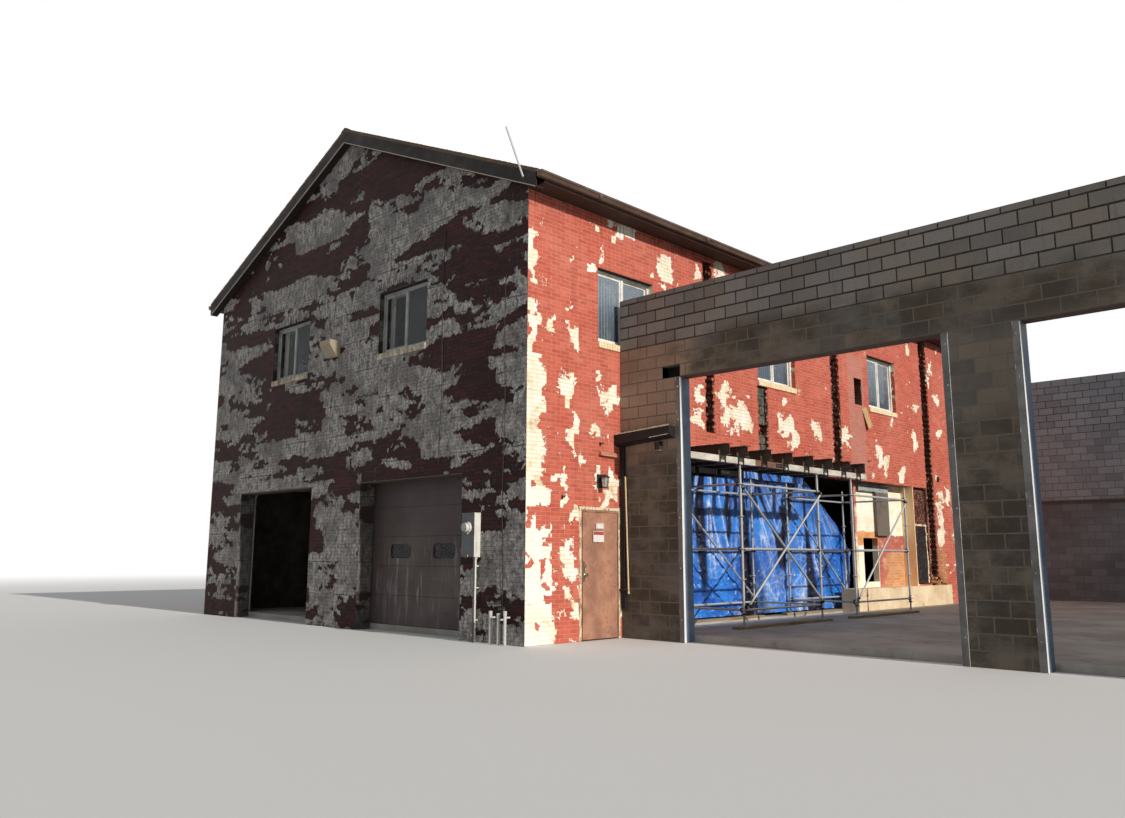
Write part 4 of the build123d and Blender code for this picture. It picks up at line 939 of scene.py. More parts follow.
def bandedFinish(name, edge, above, below, scale=3.0):
    # one colour over another, with a worn edge between them; each is (main, worn)
    finish = newFinish(name, Roughness=0.75, Specular_IOR_Level=0.2)
    point = cornerPoint()
    worn = grain(point, scale, 6.0, 0.7)
    height = split(point)[2]
    high = blend(between(worn, 0.46, 0.64), *above)
    low = blend(between(worn, 0.46, 0.64), *below)
    line = scaled(worn, 0.1, minus(height, edge + 0.05))
    colour = veil(low, high, line, -0.01, 0.01)
    grit = grain(point, 70.0, 3.0, 0.7)
    colour = veil(colour, tint(84, 66, 56), grit, 0.52, 0.72, 0.4)
    return finished(finish, colour, scaled(grit, 0.4, worn), 0.003, 0.6)


casingTone = bandedFinish("greyCasing", 2.92, (tint(168, 172, 170), tint(140, 144, 142)),
                          (tint(116, 106, 94), tint(92, 84, 76)))
postTone = bandedFinish("paintedPost", 1.70, (tint(206, 118, 100), tint(240, 220, 184)),
                        (tint(246, 232, 200), tint(214, 182, 144)))
# painted light: the header angles' top is pale as sunlit and the part below dark as shade
angleLitTopTone = bandedFinish("headerAnglesLitTop", 3.372, (tint(214, 190, 178), tint(176, 150, 138)),
                         (tint(74, 64, 60), tint(52, 46, 44)))


paneGlass = glassFinish("paneGlass")


dress(paintSide, "right_wall_upper", "right_wall_corner", "right_wall_over_door",
      "right_wall_pier", "right_wall_rear_pier")
dress(paintLeft, "left_wall")
dress(shadedPaintFront, "front_wall", "rear_wall")
dress(slabTone, "ground_floor_slab", "wing_floor_slab")
dress(ledgeTone, "base_ledge")
dress(joistTone, "upper_floor", "roof_right_slope", "roof_left_slope")
dress(brownTone, "rake_boards", "old_gutter", "corner_downpipe", "ridge_cap")
dress(eavesTone, "eaves")
dress(needleTone, "bay_lintels", "needle_beams", "rear_ledger", "bay_head_plates")
dress(angleLitTopTone, "header_angles")
dress(jambTone, "bay_jambs")
dress(tubeTone, "scaffold_posts", "scaffold_ledgers", "scaffold_braces",
      "bay_door_tracks", "roof_mast")
dress(timberTone, "sill_boards")
dress(jambBoardSunlitTone, "jamb_board")
dress(doorTone, "side_door_leaf")
dress(whiteTone, "window_frames")
dress(bayDoorTone, "bay_door_right", "bay_door_left")
dress(hardwareTone, "side_door_knob")
dress(meterTone, "meter_box", "meter_conduit")
dress(beigeTone, "front_wall_lamp")
dress(bronzeTone, "side_wall_lamp", "pier_lamp")
dress(plasterTone, "inner_wall")
dress(postTone, "inner_post")
dress(casingTone, "wall_trunking")
dress(paneGlass, "window_glass")
report("finishes")


# Block wing: every block laid in running bond, with raked joints in the upper courses

wing = {"front": house["wingFront"], "thick": 0.244, "length": 0.4064,
        "course": 0.2032, "joint": 0.010, "jointUpper": 0.019,
        "arris": 0.005, "flush": 0.0015, "raked": 0.015, "rakedFrom": 4.877,
        "end": 12.2528, "head": 4.267, "top": 5.791, "rearTop": 6.5024, "back": house["length"],
        "rearBay": (3.7, 8.02), "piers": ((0.0, 1.302), (5.638, 6.6148), (10.9508, 12.2528)),
        "pocket": (0.944, 1.31, 0.146)}


def subtractSpans(start, end, holes):
    spans = [(start, end)]
    for low, high in holes:
        spans = [piece for a, b in spans for piece in ((a, min(b, low)), (max(a, high), b))
                 if piece[1] - piece[0] > 0.001]
    return spans


def layCourses(blocks, mortar, along, across, start, end, foot, top, values, holes=(), dice=None):
    course, length = values["course"], values["length"]
    row = round(foot / course)
    while row * course < top - 0.01:
        low = row * course
        high = min(low + course, top)
        gaps = [(a, b) for a, b, c, d in holes if c < low + 0.02 and d > high - 0.02]
        exposed = low > values["rakedFrom"] - 0.02
        inset = values["raked"] if exposed else values["flush"]
        joint = values["jointUpper"] if exposed else values["joint"]
        for a, b in subtractSpans(start, end, gaps):
            box = ((a, across[0] + inset, low), (b, across[1] - inset, high))
            if along == "y":
                box = tuple((p[1], p[0], p[2]) for p in box)
            addBox(mortar, *box)
            first = start - (length if row % 2 == 0 else length / 2)
            count = int((end - first) / length) + 2
            for step in range(count):
                left = max(a, first + step * length)
                right = min(b, first + (step + 1) * length)
                if right - left < 0.04:
                    continue
                wobble = [dice.uniform(-0.0015, 0.0015) for _ in range(3)]
                left += joint / 2 if left > a + 0.001 else 0.0
                right -= joint / 2 if right < b - 0.001 else 0.0
                ends = ((left, across[0] + abs(wobble[0]), low + joint / 2),
                        (right, across[1] - abs(wobble[1]), high - joint / 2))
                if along == "y":
                    ends = tuple((p[1], p[0], p[2]) for p in ends)
                addBox(blocks, *ends, tone=dice.random(), chamfer=values["arris"])
        row += 1


# painted shade: a near black finish for the shade at the back of the header pocket
pocketShadeTone = mineralFinish("paintedShadePocket", tint(34, 31, 30), tint(20, 18, 18), tint(48, 44, 40))


def buildWing(values):
    dice = random.Random(11)
    front = (values["front"], values["front"] + values["thick"])
    blocks, mortar = newHeaps(2)
    for start, end in values["piers"]:
        layCourses(blocks, mortar, "x", front, start, end, 0.0, values["head"], values, dice=dice)
    pocketLeft, pocketRight, pocketDeep = values["pocket"]
    hole = (pocketLeft, pocketRight, values["head"], values["head"] + values["course"])
    layCourses(blocks, mortar, "x", front, 0.0, values["end"],
               values["head"], values["top"], values, holes=[hole], dice=dice)
    low, high = values["head"], values["head"] + values["course"]
    addBox(blocks, (pocketLeft, values["front"] + pocketDeep, low),
           (pocketRight, front[1], high), tone=0.2, chamfer=0.004)
    # painted shade: a dark sheet just in front of the pocket's back
    shade = newHeap()
    addBox(shade, (pocketLeft + 0.002, front[0] + pocketDeep - 0.006, low + 0.002),
           (pocketRight - 0.002, front[0] + pocketDeep - 0.001, high - 0.002), 0.5, 0.001)
    emit(shade, "headerPocketBack", pocketShadeTone)
    emit(blocks, "wingFrontBlocks", blockTone,
         replaces=("block_pier_left", "block_pier_middle", "block_pier_right", "block_header"))
    emit(mortar, "wingFrontJoints", blockMortar)
    blocks, mortar = newHeaps(2)
    side = (values["end"] - values["thick"], values["end"])
    layCourses(blocks, mortar, "y", side, front[1], values["back"] - values["thick"],
               0.0, values["top"], values, dice=dice)
    emit(blocks, "wingSideBlocks", blockTone, replaces=("block_side_wall",))
    emit(mortar, "wingSideJoints", blockMortar)
    blocks, mortar = newHeaps(2)
    rear = (values["back"] - values["thick"], values["back"])
    a, b = values["rearBay"]
    layCourses(blocks, mortar, "x", rear, 0.0, values["end"], 0.0, values["rearTop"],
               dict(values, rakedFrom=99.0), holes=[(a, b, 0.0, values["head"])], dice=dice)
    emit(blocks, "wingRearBlocks", blockToneRear,
         replaces=("block_rear_wall",))
    emit(mortar, "wingRearJoints", rearMortar)


buildWing(wing)
report("block wing")


# Roof: three-tab shingles in rows up both slopes, and bent tabs over the ridge

roofing = {"exposure": 0.143, "tab": 0.305, "gap": 0.006, "butt": 0.007,
           "slope": house["slope"], "ridgeX": -house["width"] / 2,
           "eaveX": 0.375, "ridgeTop": house["eave"] + house["slope"] * house["width"] / 2 + 0.35,
           "front": -0.175, "back": 19.975, "overhang": 0.012}


def shingleFinish(name):
    finish = newFinish(name, Roughness=0.95, Specular_IOR_Level=0.12)
    point = cornerPoint()
    tone = painted("tone")
    colour = blend(tone, tint(84, 74, 68), tint(52, 45, 42))
    grit = grain(point, 160.0, 3.0, 0.8)
    colour = veil(colour, tint(120, 110, 102), grit, 0.42, 0.68, 0.6)
    lichen = grain(point, 1.6, 5.0, 0.65)
    colour = veil(colour, tint(70, 70, 58), lichen, 0.55, 0.75, 0.4)
    return finished(finish, colour, grit, 0.003, 0.9)


shingleTone = shingleFinish("asphaltShingles")


def buildRoof(values):
    dice = random.Random(5)
    run = values["eaveX"] - values["ridgeX"]
    secant = math.hypot(1.0, values["slope"])
    rows = int(run * secant / values["exposure"]) + 1
    normal = Vector((values["slope"], 0, 1)).normalized()
    for side, name in ((1, "shinglesRight"), (-1, "shinglesLeft")):
        heap = newHeap()
        for row in range(rows):
            nearEave = max(0.0, row * values["exposure"] - values["overhang"])
            far = min((row + 1) * values["exposure"] + 0.02, run * secant - 0.01)
            if far - nearEave < 0.03:
                continue
            start = values["front"] - (row % 2) * values["tab"] / 2
            count = int((values["back"] - start) / values["tab"]) + 1
            for step in range(count):
                a = max(values["front"], start + step * values["tab"] + values["gap"] / 2)
                b = min(values["back"], start + (step + 1) * values["tab"] - values["gap"] / 2)
                if b - a < 0.02:
                    continue
                butt = values["butt"] + dice.uniform(-0.001, 0.003)
                slip = dice.uniform(-0.003, 0.003) if row else 0.0
                points = []
                for reach, lift in ((nearEave + slip, butt), (far, 0.002)):
                    x = values["eaveX"] - reach / secant
                    z = values["ridgeTop"] - (x - values["ridgeX"]) * values["slope"]
                    for y in (a, b):
                        foot = Vector((x, y, z))
                        points += [foot + normal * lift, foot]
                if side < 0:
                    points = [Vector((2 * values["ridgeX"] - p.x, p.y, p.z)) for p in points]
                # top, butt edge, both sides
                faces = [(0, 2, 6, 4), (0, 1, 3, 2), (0, 4, 5, 1), (2, 3, 7, 6)]
                addShape(heap, points, faces, dice.random())
        emit(heap, name, shingleTone, angle=20)
    # each cap tab is bent over the ridge
    flap = (0.128, 0.128 * values["slope"])
    bend = ((-flap[0], flap[1]), (-0.02, 0.0085), (0.0, 0.004), (0.02, 0.0085), flap)
    cap = newHeap()
    y = values["front"]
    while y < values["back"] - 0.05:
        ahead = min(values["back"], y + values["exposure"] + 0.02)
        tone = dice.random()
        rim = []
        for place, lift in ((y, 0.028), (ahead, 0.016)):
            for across, drop in bend:
                rim.append(Vector((values["ridgeX"] + across,
                                   place, values["ridgeTop"] + lift - drop)))
        under = [p - Vector((0, 0, 0.014)) for p in rim]
        faces = [(n, n + 1, n + 6, n + 5) for n in range(4)]
        faces += [(n, 10 + n, 11 + n, n + 1) for n in range(4)]
        faces += [(0, 5, 15, 10), (4, 14, 19, 9)]
        addShape(cap, rim + under, faces, tone)
        y += values["exposure"]
    emit(cap, "ridgeShingles", shingleTone, replaces=("ridge_cap",), angle=20)


buildRoof(roofing)
report("roof")


# Tarp: a creased sheet that hangs from the inner stringer and is pulled aside at its right edge

tarpSheet = {"columns": 360, "rows": 140, "face": -0.4553, "creases": 0.055, "start": 3.56,
             "foot": 0.165, "right": ((0.17, 11.05), (1.48, 11.2), (2.08, 10.6), (2.52, 9.96),
                                      (3.03, 9.16)),
             "top": ((3.56, 2.885), (5.9, 2.91), (6.15, 2.995), (6.7, 3.055), (9.16, 3.03)),
             # where each panel's folds meet above it, and the gap between the two panels
             "ties": ((5.15, 4.3), (6.50, 4.0), (9.00, 3.8)), "gap": 6.08, "gapFoot": 1.55,
             "fold": {"start": 6.50, "end": 8.86, "low": 2.945, "high": 3.084, "face": -0.352}}


def readOff(points, value):
    for (a, b), (c, d) in zip(points, points[1:]):
        if value <= c:
            return b + (d - b) * max(0.0, (value - a)) / (c - a)
    return points[-1][1]


def ridged(first, second, seed):
    return max(0.0, 1.0 - abs(noise.noise((first, second, seed))) * 2.4)


def tarpFinish(name):
    # woven sheet: the mesh carries where painted highlights lie along the creases and where
    # painted shade darkens the folds
    finish = newFinish(name, Specular_IOR_Level=0.55)
    parts = cornerParts()
    flat = joined(parts[1], parts[2])
    pale = painted("pale")
    dark = painted("dark")
    fine = grain(stretched(flat, (3.0, 1.0, 1)), 9.0, 6.0, 0.7)
    tone = grain(flat, 1.3, 4.0, 0.6)
    colour = veil(tint(48, 130, 224), tint(26, 88, 178), tone, 0.36, 0.64)
    colour = blend(dark, colour, tint(3, 13, 48))
    pale = times(pale, between(fine, 0.38, 0.58, 0.3, 1.0))
    colour = blend(pale, colour, tint(212, 232, 255))
    # painted highlight: glints of sun, more of them lower down
    glints = times(between(grain(flat, 12.0, 6.0, 0.72, 0.6), 0.61, 0.67),
                   between(parts[2], 2.2, 0.9, 0.15, 0.9))
    colour = blend(times(glints, minus(1.0, dark)), colour, tint(224, 238, 255))
    weave = stripes(flat, 90.0)
    return finished(finish, colour, scaled(weave, 0.02, fine),
                    0.012, 0.8, between(fine, 0.3, 0.7, 0.26, 0.48))


tarpTone = tarpFinish("wovenBlueSheet")


def tarpFolds(y, z, values):
    # folds spread downwards from where the sheet is tied, with crumples across them lower down
    reaches = [(y - side) / (high - z) for side, high in values["ties"]]
    if y < values["gap"]:
        share = (1.0, 0.0, 0.0)
    else:
        later = min(1.0, max(0.0, (y - 7.3) / 1.4))
        share = (0.0, 1.0 - later, later)
    sharp = broad = 0.0
    for index, part in enumerate(share):
        if part:
            reach = reaches[index]
            sharp += part * max(ridged(reach * 5.5, z * 0.35, index * 3.1) ** 9,
                                0.8 * ridged(reach * 9.0, z * 0.6, index * 3.1 + 9.0) ** 10)
            broad += part * noise.noise((reach * 5.0, z * 0.22, index * 4.7 + 2.0))
    low = min(1.0, max(0.12, (2.1 - z) / 1.2))
    crumple = low * max(ridged(y * 1.5 + z * 1.2, z * 1.7 - y * 0.7, 21.0) ** 8,
                        ridged(y * 1.3 - z * 1.6, z * 2.3 + y * 0.5, 27.0) ** 8,
                        0.7 * ridged(y * 3.6, z * 3.9, 33.0) ** 7)
    # painted highlight on the sharp creases and crumples, painted shade in the deep folds
    gate = 0.5 + 1.5 * noise.noise((y * 0.8, z * 0.7, 40.0))
    pale = min(1.0, max(0.0, gate) * 1.5 * (sharp + 0.6 * crumple))
    dark = min(1.0, max(0.0, -broad * 2.8 - 0.55) * 3.0)
    # painted shade: the black gap where the two panels part, and the shaded gathers at the right
    # edge
    gap = abs(y + 0.16 * noise.noise((z * 1.8, 1.0, 5.0)) - values["gap"] - 0.05 * (3.0 - z))
    wide = 0.05 + 0.10 * max(0.0, math.sin((z - 1.5) * 2.2))
    gap = max(0.0, 1.0 - gap / wide) * min(1.0, max(0.0, (z - values["gapFoot"]) * 3.0))
    dark = max(dark, min(1.0, gap * 2.2))
    gathers = max(0.0, 1.0 - abs(y - 9.35 - (3.0 - z) * 0.35) / 0.28)
    dark = max(dark, gathers * ridged(reaches[2] * 16.0, z * 0.4, 51.0) ** 2)
    return sharp, broad, crumple, pale * (1.0 - dark), dark


def hangSheet(name, points, shades, columns, rows):
    faces = []
    for row in range(rows):
        for column in range(columns):
            start = row * (columns + 1) + column
            faces.append((start, start + 1, start + columns + 2, start + columns + 1))
    mesh = bpy.data.meshes.new(name)
    mesh.from_pydata(points, [], faces)
    for index, label in enumerate(("pale", "dark")):
        field = mesh.attributes.new(label, "FLOAT", "POINT")
        field.data.foreach_set("value", [shade[index] for shade in shades])
    mesh.polygons.foreach_set("use_smooth", [True] * len(mesh.polygons))
    mesh.materials.append(tarpTone)
    piece = bpy.data.objects.new(name, mesh)
    bpy.context.scene.collection.objects.link(piece)
    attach(piece, "building")
    return piece, sum(face.area for face in mesh.polygons)


def buildTarp(values):
    columns, rows = values["columns"], values["rows"]
    points, shades = [], []
    for row in range(rows + 1):
        v = row / rows
        for column in range(columns + 1):
            u = column / columns
            level = values["foot"] + v * 2.86
            y = values["start"] + u * (readOff(values["right"], level) - values["start"])
            z = values["foot"] + v * (readOff(values["top"], y) - values["foot"])
            sharp, broad, crumple, pale, dark = tarpFolds(y, z, values)
            tiny = noise.noise((y * 11, z * 6, 11.0))
            bulge = 0.45 * sharp + 0.35 * (0.5 + broad) + 0.28 * crumple + 0.04 * tiny
            hung = min(1.0, (1.0 - v) * 6.0)
            depth = values["creases"] * 1.5 * (1.0 - bulge) * (0.15 + 0.85 * hung)
            x = values["face"] - 0.006 - depth
            points.append(Vector((x, y, z)) + corner)
            shades.append((pale, dark))
    piece, area = hangSheet("hungTarp", points, shades, columns, rows)
    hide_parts("tarp")
    print("tarp area", round(area, 2))
    # its head is turned out over the inner beam
    fold = values["fold"]
    columns, rows = 150, 8
    points, shades = [], []
    for row in range(rows + 1):
        for column in range(columns + 1):
            y = fold["start"] + (fold["end"] - fold["start"]) * column / columns
            sag = 0.012 * noise.noise((y * 3.0, 2.0, 0.0)) + 0.008 * abs(math.sin(y * 4.2))
            z = fold["high"] - sag - (fold["high"] - fold["low"]) * row / rows
            sharp, broad, crumple, pale, dark = tarpFolds(y, z, values)
            x = fold["face"] + 0.006 * sharp + 0.004 * noise.noise((y * 9, z * 4, 3.0))
            points.append(Vector((x, y, z)) + corner)
            shades.append((pale, dark * 0.6))
    piece = hangSheet("tarpHead", points, shades, columns, rows)[0]


buildTarp(tarpSheet)
report("tarp")


# Windows: sashes, screens, vertical blinds, brick-on-edge sills and lintels darkened as painted
# shade for the shadow line at each head

glazing = {"width": 1.5, "head": 6.29, "frontSill": 5.11, "sideSill": 4.98, "setback": 0.10,
           "bar": 0.055, "sash": 0.038, "panes": (0.024, 0.048),
           "sillHeight": 0.115, "sillProud": 0.030, "vanePitch": 0.078, "vaneWidth": 0.086,
           "vaneDepth": 0.165, "vaneTurn": 0.55, "front": (-7.475, -3.410),
           "side": [house["firstWindow"] + n * house["bay"] for n in range(4)],
           # stretches of each window that blinds cover; one side window is covered all over
           "drops": {"front": ((-0.71, -0.62),), "rear": ((-0.71, -0.2), (0.3, 0.71)),
                     "right": ((-0.71, -0.03), (0.60, 0.71)), "left": ((-0.71, -0.1),)},
           "coveredWindow": 2, "coveredDrop": ((-0.71, 0.71),)}


def vaneFinish(name):
    finish = newFinish(name, Roughness=0.9)
    flat = wallPoint()[0]
    fold = grain(stretched(flat, (14.0, 0.6, 1)), 1.6, 2.0, 0.5)
    colour = veil(tint(238, 238, 226), tint(204, 206, 196), fold, 0.35, 0.65)
    return finished(finish, colour, fold, 0.02, 0.8)


def screenFinish(name):
    finish = newFinish(name, Base_Color=tint(70, 74, 76), Roughness=0.6, Alpha=0.5)
    flat = wallPoint()[0]
    mesh = wire("TexBrick", {"Vector": flat, "Scale": 1.0, "Mortar Size": 0.0011,
                             "Mortar Smooth": 0.2, "Brick Width": 0.006, "Row Height": 0.006},
                offset=0.0).outputs["Fac"]
    feed("Alpha", between(mesh, 0.0, 1.0, 0.22, 0.75))
    return finish


def brickFinish(name, base, dark, pale, joint):
    finish = newFinish(name, Roughness=0.85, Specular_IOR_Level=0.15)
    point = cornerPoint()
    tone = painted("tone")
    colour = blend(tone, base, dark)
    cloud = grain(point, 9.0, 6.0, 0.7)
    colour = veil(colour, pale, cloud, 0.46, 0.66, 0.75)
    grit = grain(point, 80.0, 3.0, 0.7)
    colour = veil(colour, joint, grit, 0.5, 0.72, 0.4)
    return finished(finish, colour, scaled(grit, 0.4, cloud), 0.004, 0.8)


vaneTone = vaneFinish("blindVane")
screenTone = screenFinish("insectScreen")
sillSide = brickFinish("sillBricksCream", tint(244, 222, 182),
                       tint(232, 204, 156), tint(250, 238, 212), tint(184, 142, 106))
sillFront = brickFinish("sillBricksGrey", tint(196, 184, 164),
                        tint(132, 118, 102), tint(232, 224, 208), tint(66, 54, 48))


def windowFrame(side, spot):
    # a window's own frame, with x along the wall, y inwards and z up from the sill; its height
    setback, sill = glazing["setback"], glazing["frontSill"]
    if side in ("right", "left"):
        sill = glazing["sideSill"]
    x, y, quarters = {"front": (spot, setback, 0), "rear": (spot, house["length"] - setback, 2),
                      "right": (-setback, spot, 1),
                      "left": (setback - house["width"], house["length"] - spot, -1)}[side]
    turn = Matrix.Rotation(quarters * math.pi / 2, 4, "Z")
    return Matrix.Translation((x, y, sill)) @ turn, glazing["head"] - sill


def buildWindows(values):
    dice = random.Random(3)
    sashes, screens, blinds, lintels = newHeaps(4)
    sills = {"front": newHeap(), "side": newHeap()}
    heads = {side: newHeap() for side in ("front", "rear", "right", "left")}
    for side in ("front", "rear", "right", "left"):
        for index, spot in enumerate(values["front" if side in ("front", "rear") else "side"]):
            turn, height = windowFrame(side, spot)
            half, bar, sash = values["width"] / 2, values["bar"], values["sash"]
            wall, deep = -values["setback"], values["vaneDepth"]
            for pane, depth in enumerate(values["panes"]):
                a = -half + bar if pane == 0 else bar / 2
                b = -bar / 2 if pane == 0 else half - bar
                low, high = bar, height - bar
                d0, d1 = depth - 0.010, depth + 0.016
                for p0, p1 in (((a, d0, low), (a + sash, d1, high)),
                               ((b - sash, d0, low), (b, d1, high)),
                               ((a + sash, d0, low), (b - sash, d1, low + sash)),
                               ((a + sash, d0, high - sash), (b - sash, d1, high))):
                    addBox(sashes, p0, p1, 0.5, 0.004, turn)
            # outer nail fin, track lips and a pull on the moving sash
            for z0, z1 in ((0.0, 0.018), (height - 0.018, height)):
                addBox(sashes, (-half + 0.002, -0.010, z0),
                       (half - 0.002, 0.0, z1), 0.5, 0.003, turn)
            addBox(sashes, (0.03, 0.026, height * 0.48), (0.055, 0.042, height * 0.48 + 0.12),
                   0.5, 0.004, turn)
            if side != "right":
                # insect screen in its thin frame
                x0, x1, top = bar / 2, half - bar, height - bar
                addBox(screens, (x0 + 0.012, 0.014, bar + 0.012),
                       (x1 - 0.012, 0.0155, top - 0.012), 0.5, 0, turn)
                for p0, p1 in (((x0, 0.008, bar), (x0 + 0.016, 0.020, top)),
                               ((x1 - 0.016, 0.008, bar), (x1, 0.020, top)),
                               ((x0, 0.008, bar), (x1, 0.020, bar + 0.016)),
                               ((x0, 0.008, top - 0.016), (x1, 0.020, top))):
                    addBox(sashes, p0, p1, 0.5, 0.003, turn)
            # stiff vanes of vertical blinds, drawn partly across and turned on their rail
            drops = values["drops"][side]
            if side == "right" and index == values["coveredWindow"]:
                drops = values["coveredDrop"]
            for a, b in drops:
                tone, count = dice.random(), max(1, round((b - a) / values["vanePitch"]))
                for step in range(count):
                    place = (a + (b - a) * (step + 0.5) / count, deep, 0.0)
                    vane = turn @ Matrix.Translation(place)
                    vane = vane @ Matrix.Rotation(values["vaneTurn"], 4, "Z")
                    reach = values["vaneWidth"] / 2
                    addBox(blinds, (-reach, -0.0006, 0.03),
                           (reach, 0.0006, height - 0.055), tone, 0, vane)
            addBox(blinds, (-0.715, deep - 0.022, height - 0.055),
                   (0.715, deep + 0.022, height - 0.020), 0.5, 0.003, turn)
            # bricks on edge under the frame
            heap = sills["front" if side in ("front", "rear") else "side"]
            count = int(values["width"] / house["course"])
            pitch = values["width"] / count
            for step in range(count):
                a = -half + step * pitch + 0.003
                b = a + pitch - 0.006
                lift = dice.uniform(-0.002, 0.001)
                # no proud sill where the block wall meets the house
                hidden = side == "right" and 2.20 < (turn @ Vector((a, 0, 0))).y < 2.48
                proud = 0.0 if hidden else values["sillProud"]
                addBox(heap, (a, wall - proud + abs(lift), -values["sillHeight"] + 0.002),
                       (b, 0.19, lift), dice.random(), 0.004, turn)
            addBox(heap, (-half, wall + 0.004, -values["sillHeight"]),
                   (half, 0.20, -0.010), 0.9, 0, turn)
            # painted shade: the lintels are dark brown for the shadow line under each head
            addBox(lintels, (-half - 0.002, wall - 0.003, height - 0.006),
                   (half + 0.002, 0.10, height + 0.006), 0.5, 0.002, turn)
            # bricks on end over the head, in the wall's own paint
            wide = values["width"] + 0.2
            count = int(wide / house["course"])
            for step in range(count):
                a = -half - 0.1 + step * wide / count
                out = wall - 0.0035 - dice.uniform(0, 0.002)
                addBox(heads[side], (a + 0.004, out, height + 0.008),
                       (a + wide / count - 0.004, wall + 0.03, height + 0.203),
                       dice.random(), 0.003, turn)
    emit(sashes, "windowSashes", whiteTone)
    emit(screens, "windowScreens", screenTone)
    emit(blinds, "windowBlinds", vaneTone)
    emit(lintels, "windowLintelsShaded", brownTone)
    for side, finish in (("front", shadedPaintFront), ("rear", shadedPaintFront),
                         ("right", paintSide), ("left", paintLeft)):
        emit(heads[side], side + "WindowHeads", finish)
    emit(sills["front"], "gableWindowSills", sillFront)
    emit(sills["side"], "sideWindowSills", sillSide,
         replaces=("window_sills",))


buildWindows(glazing)
report("windows")


# Fixtures: finishes shared by the small parts

def peeledFinish(name, paint, under, bare, amount):
    # paint flaked off its undercoat in long shreds, bare metal in the worst of them
    finish = newFinish(name, Roughness=0.6, Specular_IOR_Level=0.2)
    point = cornerPoint()
    torn = grain(stretched(point, (14, 14, 4)), 1.6, 7.0, 0.68)
    colour = veil(paint, under, torn, 0.56 - amount, 0.59 - amount)
    colour = veil(colour, bare, torn, 0.7 - amount, 0.74 - amount)
    dirt = grain(point, 6.0, 5.0, 0.7)
    colour = veil(colour, bare, dirt, 0.5, 0.75, 0.6)
    return finished(finish, colour, torn, 0.003, 0.8)


def lensFinish(name, base):
    finish = newFinish(name, Base_Color=base, Roughness=0.22, IOR=1.45, Transmission_Weight=0.55)
    point = cornerPoint()
    ribs = stripes(point, 28.0, "X")
    haze = grain(point, 16.0, 5.0, 0.7)
    feed("Roughness", between(haze, 0.4, 0.7, 0.15, 0.5))
    relief(ribs, 0.002, 0.6)
    return finish


frameTone = peeledFinish("peeledDoorFrame", tint(168, 132, 106),
                         tint(226, 208, 174), tint(128, 98, 78), 0.10)
blackTone = enamelFinish("castBlack", tint(40, 37, 36), tint(26, 24, 24),
                         tint(96, 90, 84), roughness=0.4)
lampGlass = lensFinish("hazyLampGlass", tint(214, 214, 206))
signTone = enamelFinish("whiteSignPlate", tint(226, 222, 214),
                        tint(186, 178, 166), tint(206, 198, 184))
bandTone = enamelFinish("redSignBand", tint(176, 74, 70), tint(140, 60, 56), tint(190, 120, 112))
creamPipe = enamelFinish("creamConduit", tint(224, 192, 146),
                         tint(176, 138, 98), tint(238, 222, 190))
pvcTone = enamelFinish("palePipe", tint(204, 204, 198), tint(150, 148, 140), tint(180, 172, 158))
clampTone = metalFinish("blackClamps", tint(52, 46, 42), tint(34, 30, 29),
                        tint(104, 62, 42), rustAmount=0.4, metallic=0.3, roughness=0.6)
boltTone = metalFinish("zincBolts", tint(170, 168, 162), tint(116, 112, 106),
                       tint(118, 78, 52), rustAmount=0.3, metallic=0.8, roughness=0.4)
crustTone = mineralFinish("gutterCrust", tint(238, 226, 204),
                          tint(188, 174, 150), tint(120, 104, 84), scale=6.0, bump=0.02)
rakeLitEdgeTone = enamelFinish("paleTrimLitEdge", tint(170, 158, 146), tint(120, 108, 98),
                        tint(196, 186, 172), roughness=0.45)


def addBolt(heap, place, facing, size=0.012, tone=0.5):
    # washer, hexagon head and thread end
    matrix = standing(place, facing)
    addLathe(heap, [(size * 1.15, 0), (size * 1.15, size * 0.22), (size * 0.6, size * 0.24)],
             matrix, 16, tone)
    addLathe(heap, [(size * 0.82, size * 0.22), (size * 0.82, size * 0.75),
                    (size * 0.70, size * 0.86)], matrix, 6, tone)
    addLathe(heap, [(size * 0.42, size * 0.8), (size * 0.42, size * 1.25),
                    (size * 0.3, size * 1.32)], matrix, 12, tone)


# Side door: peeled frame trim, hinges, knobs, lock plate and two bare plates

doorway = {"leaf": (1.237, 2.124), "face": 0.028, "pinX": 0.0200,
           "pinY": 2.1165, "hinges": (0.25, 1.06, 1.87), "knobY": 1.302, "knobZ": 1.04,
           "lockZ": 1.18, "plates": ((1.555, 1.756, 1.777, 1.879), (1.494, 1.754, 1.568, 1.744))}


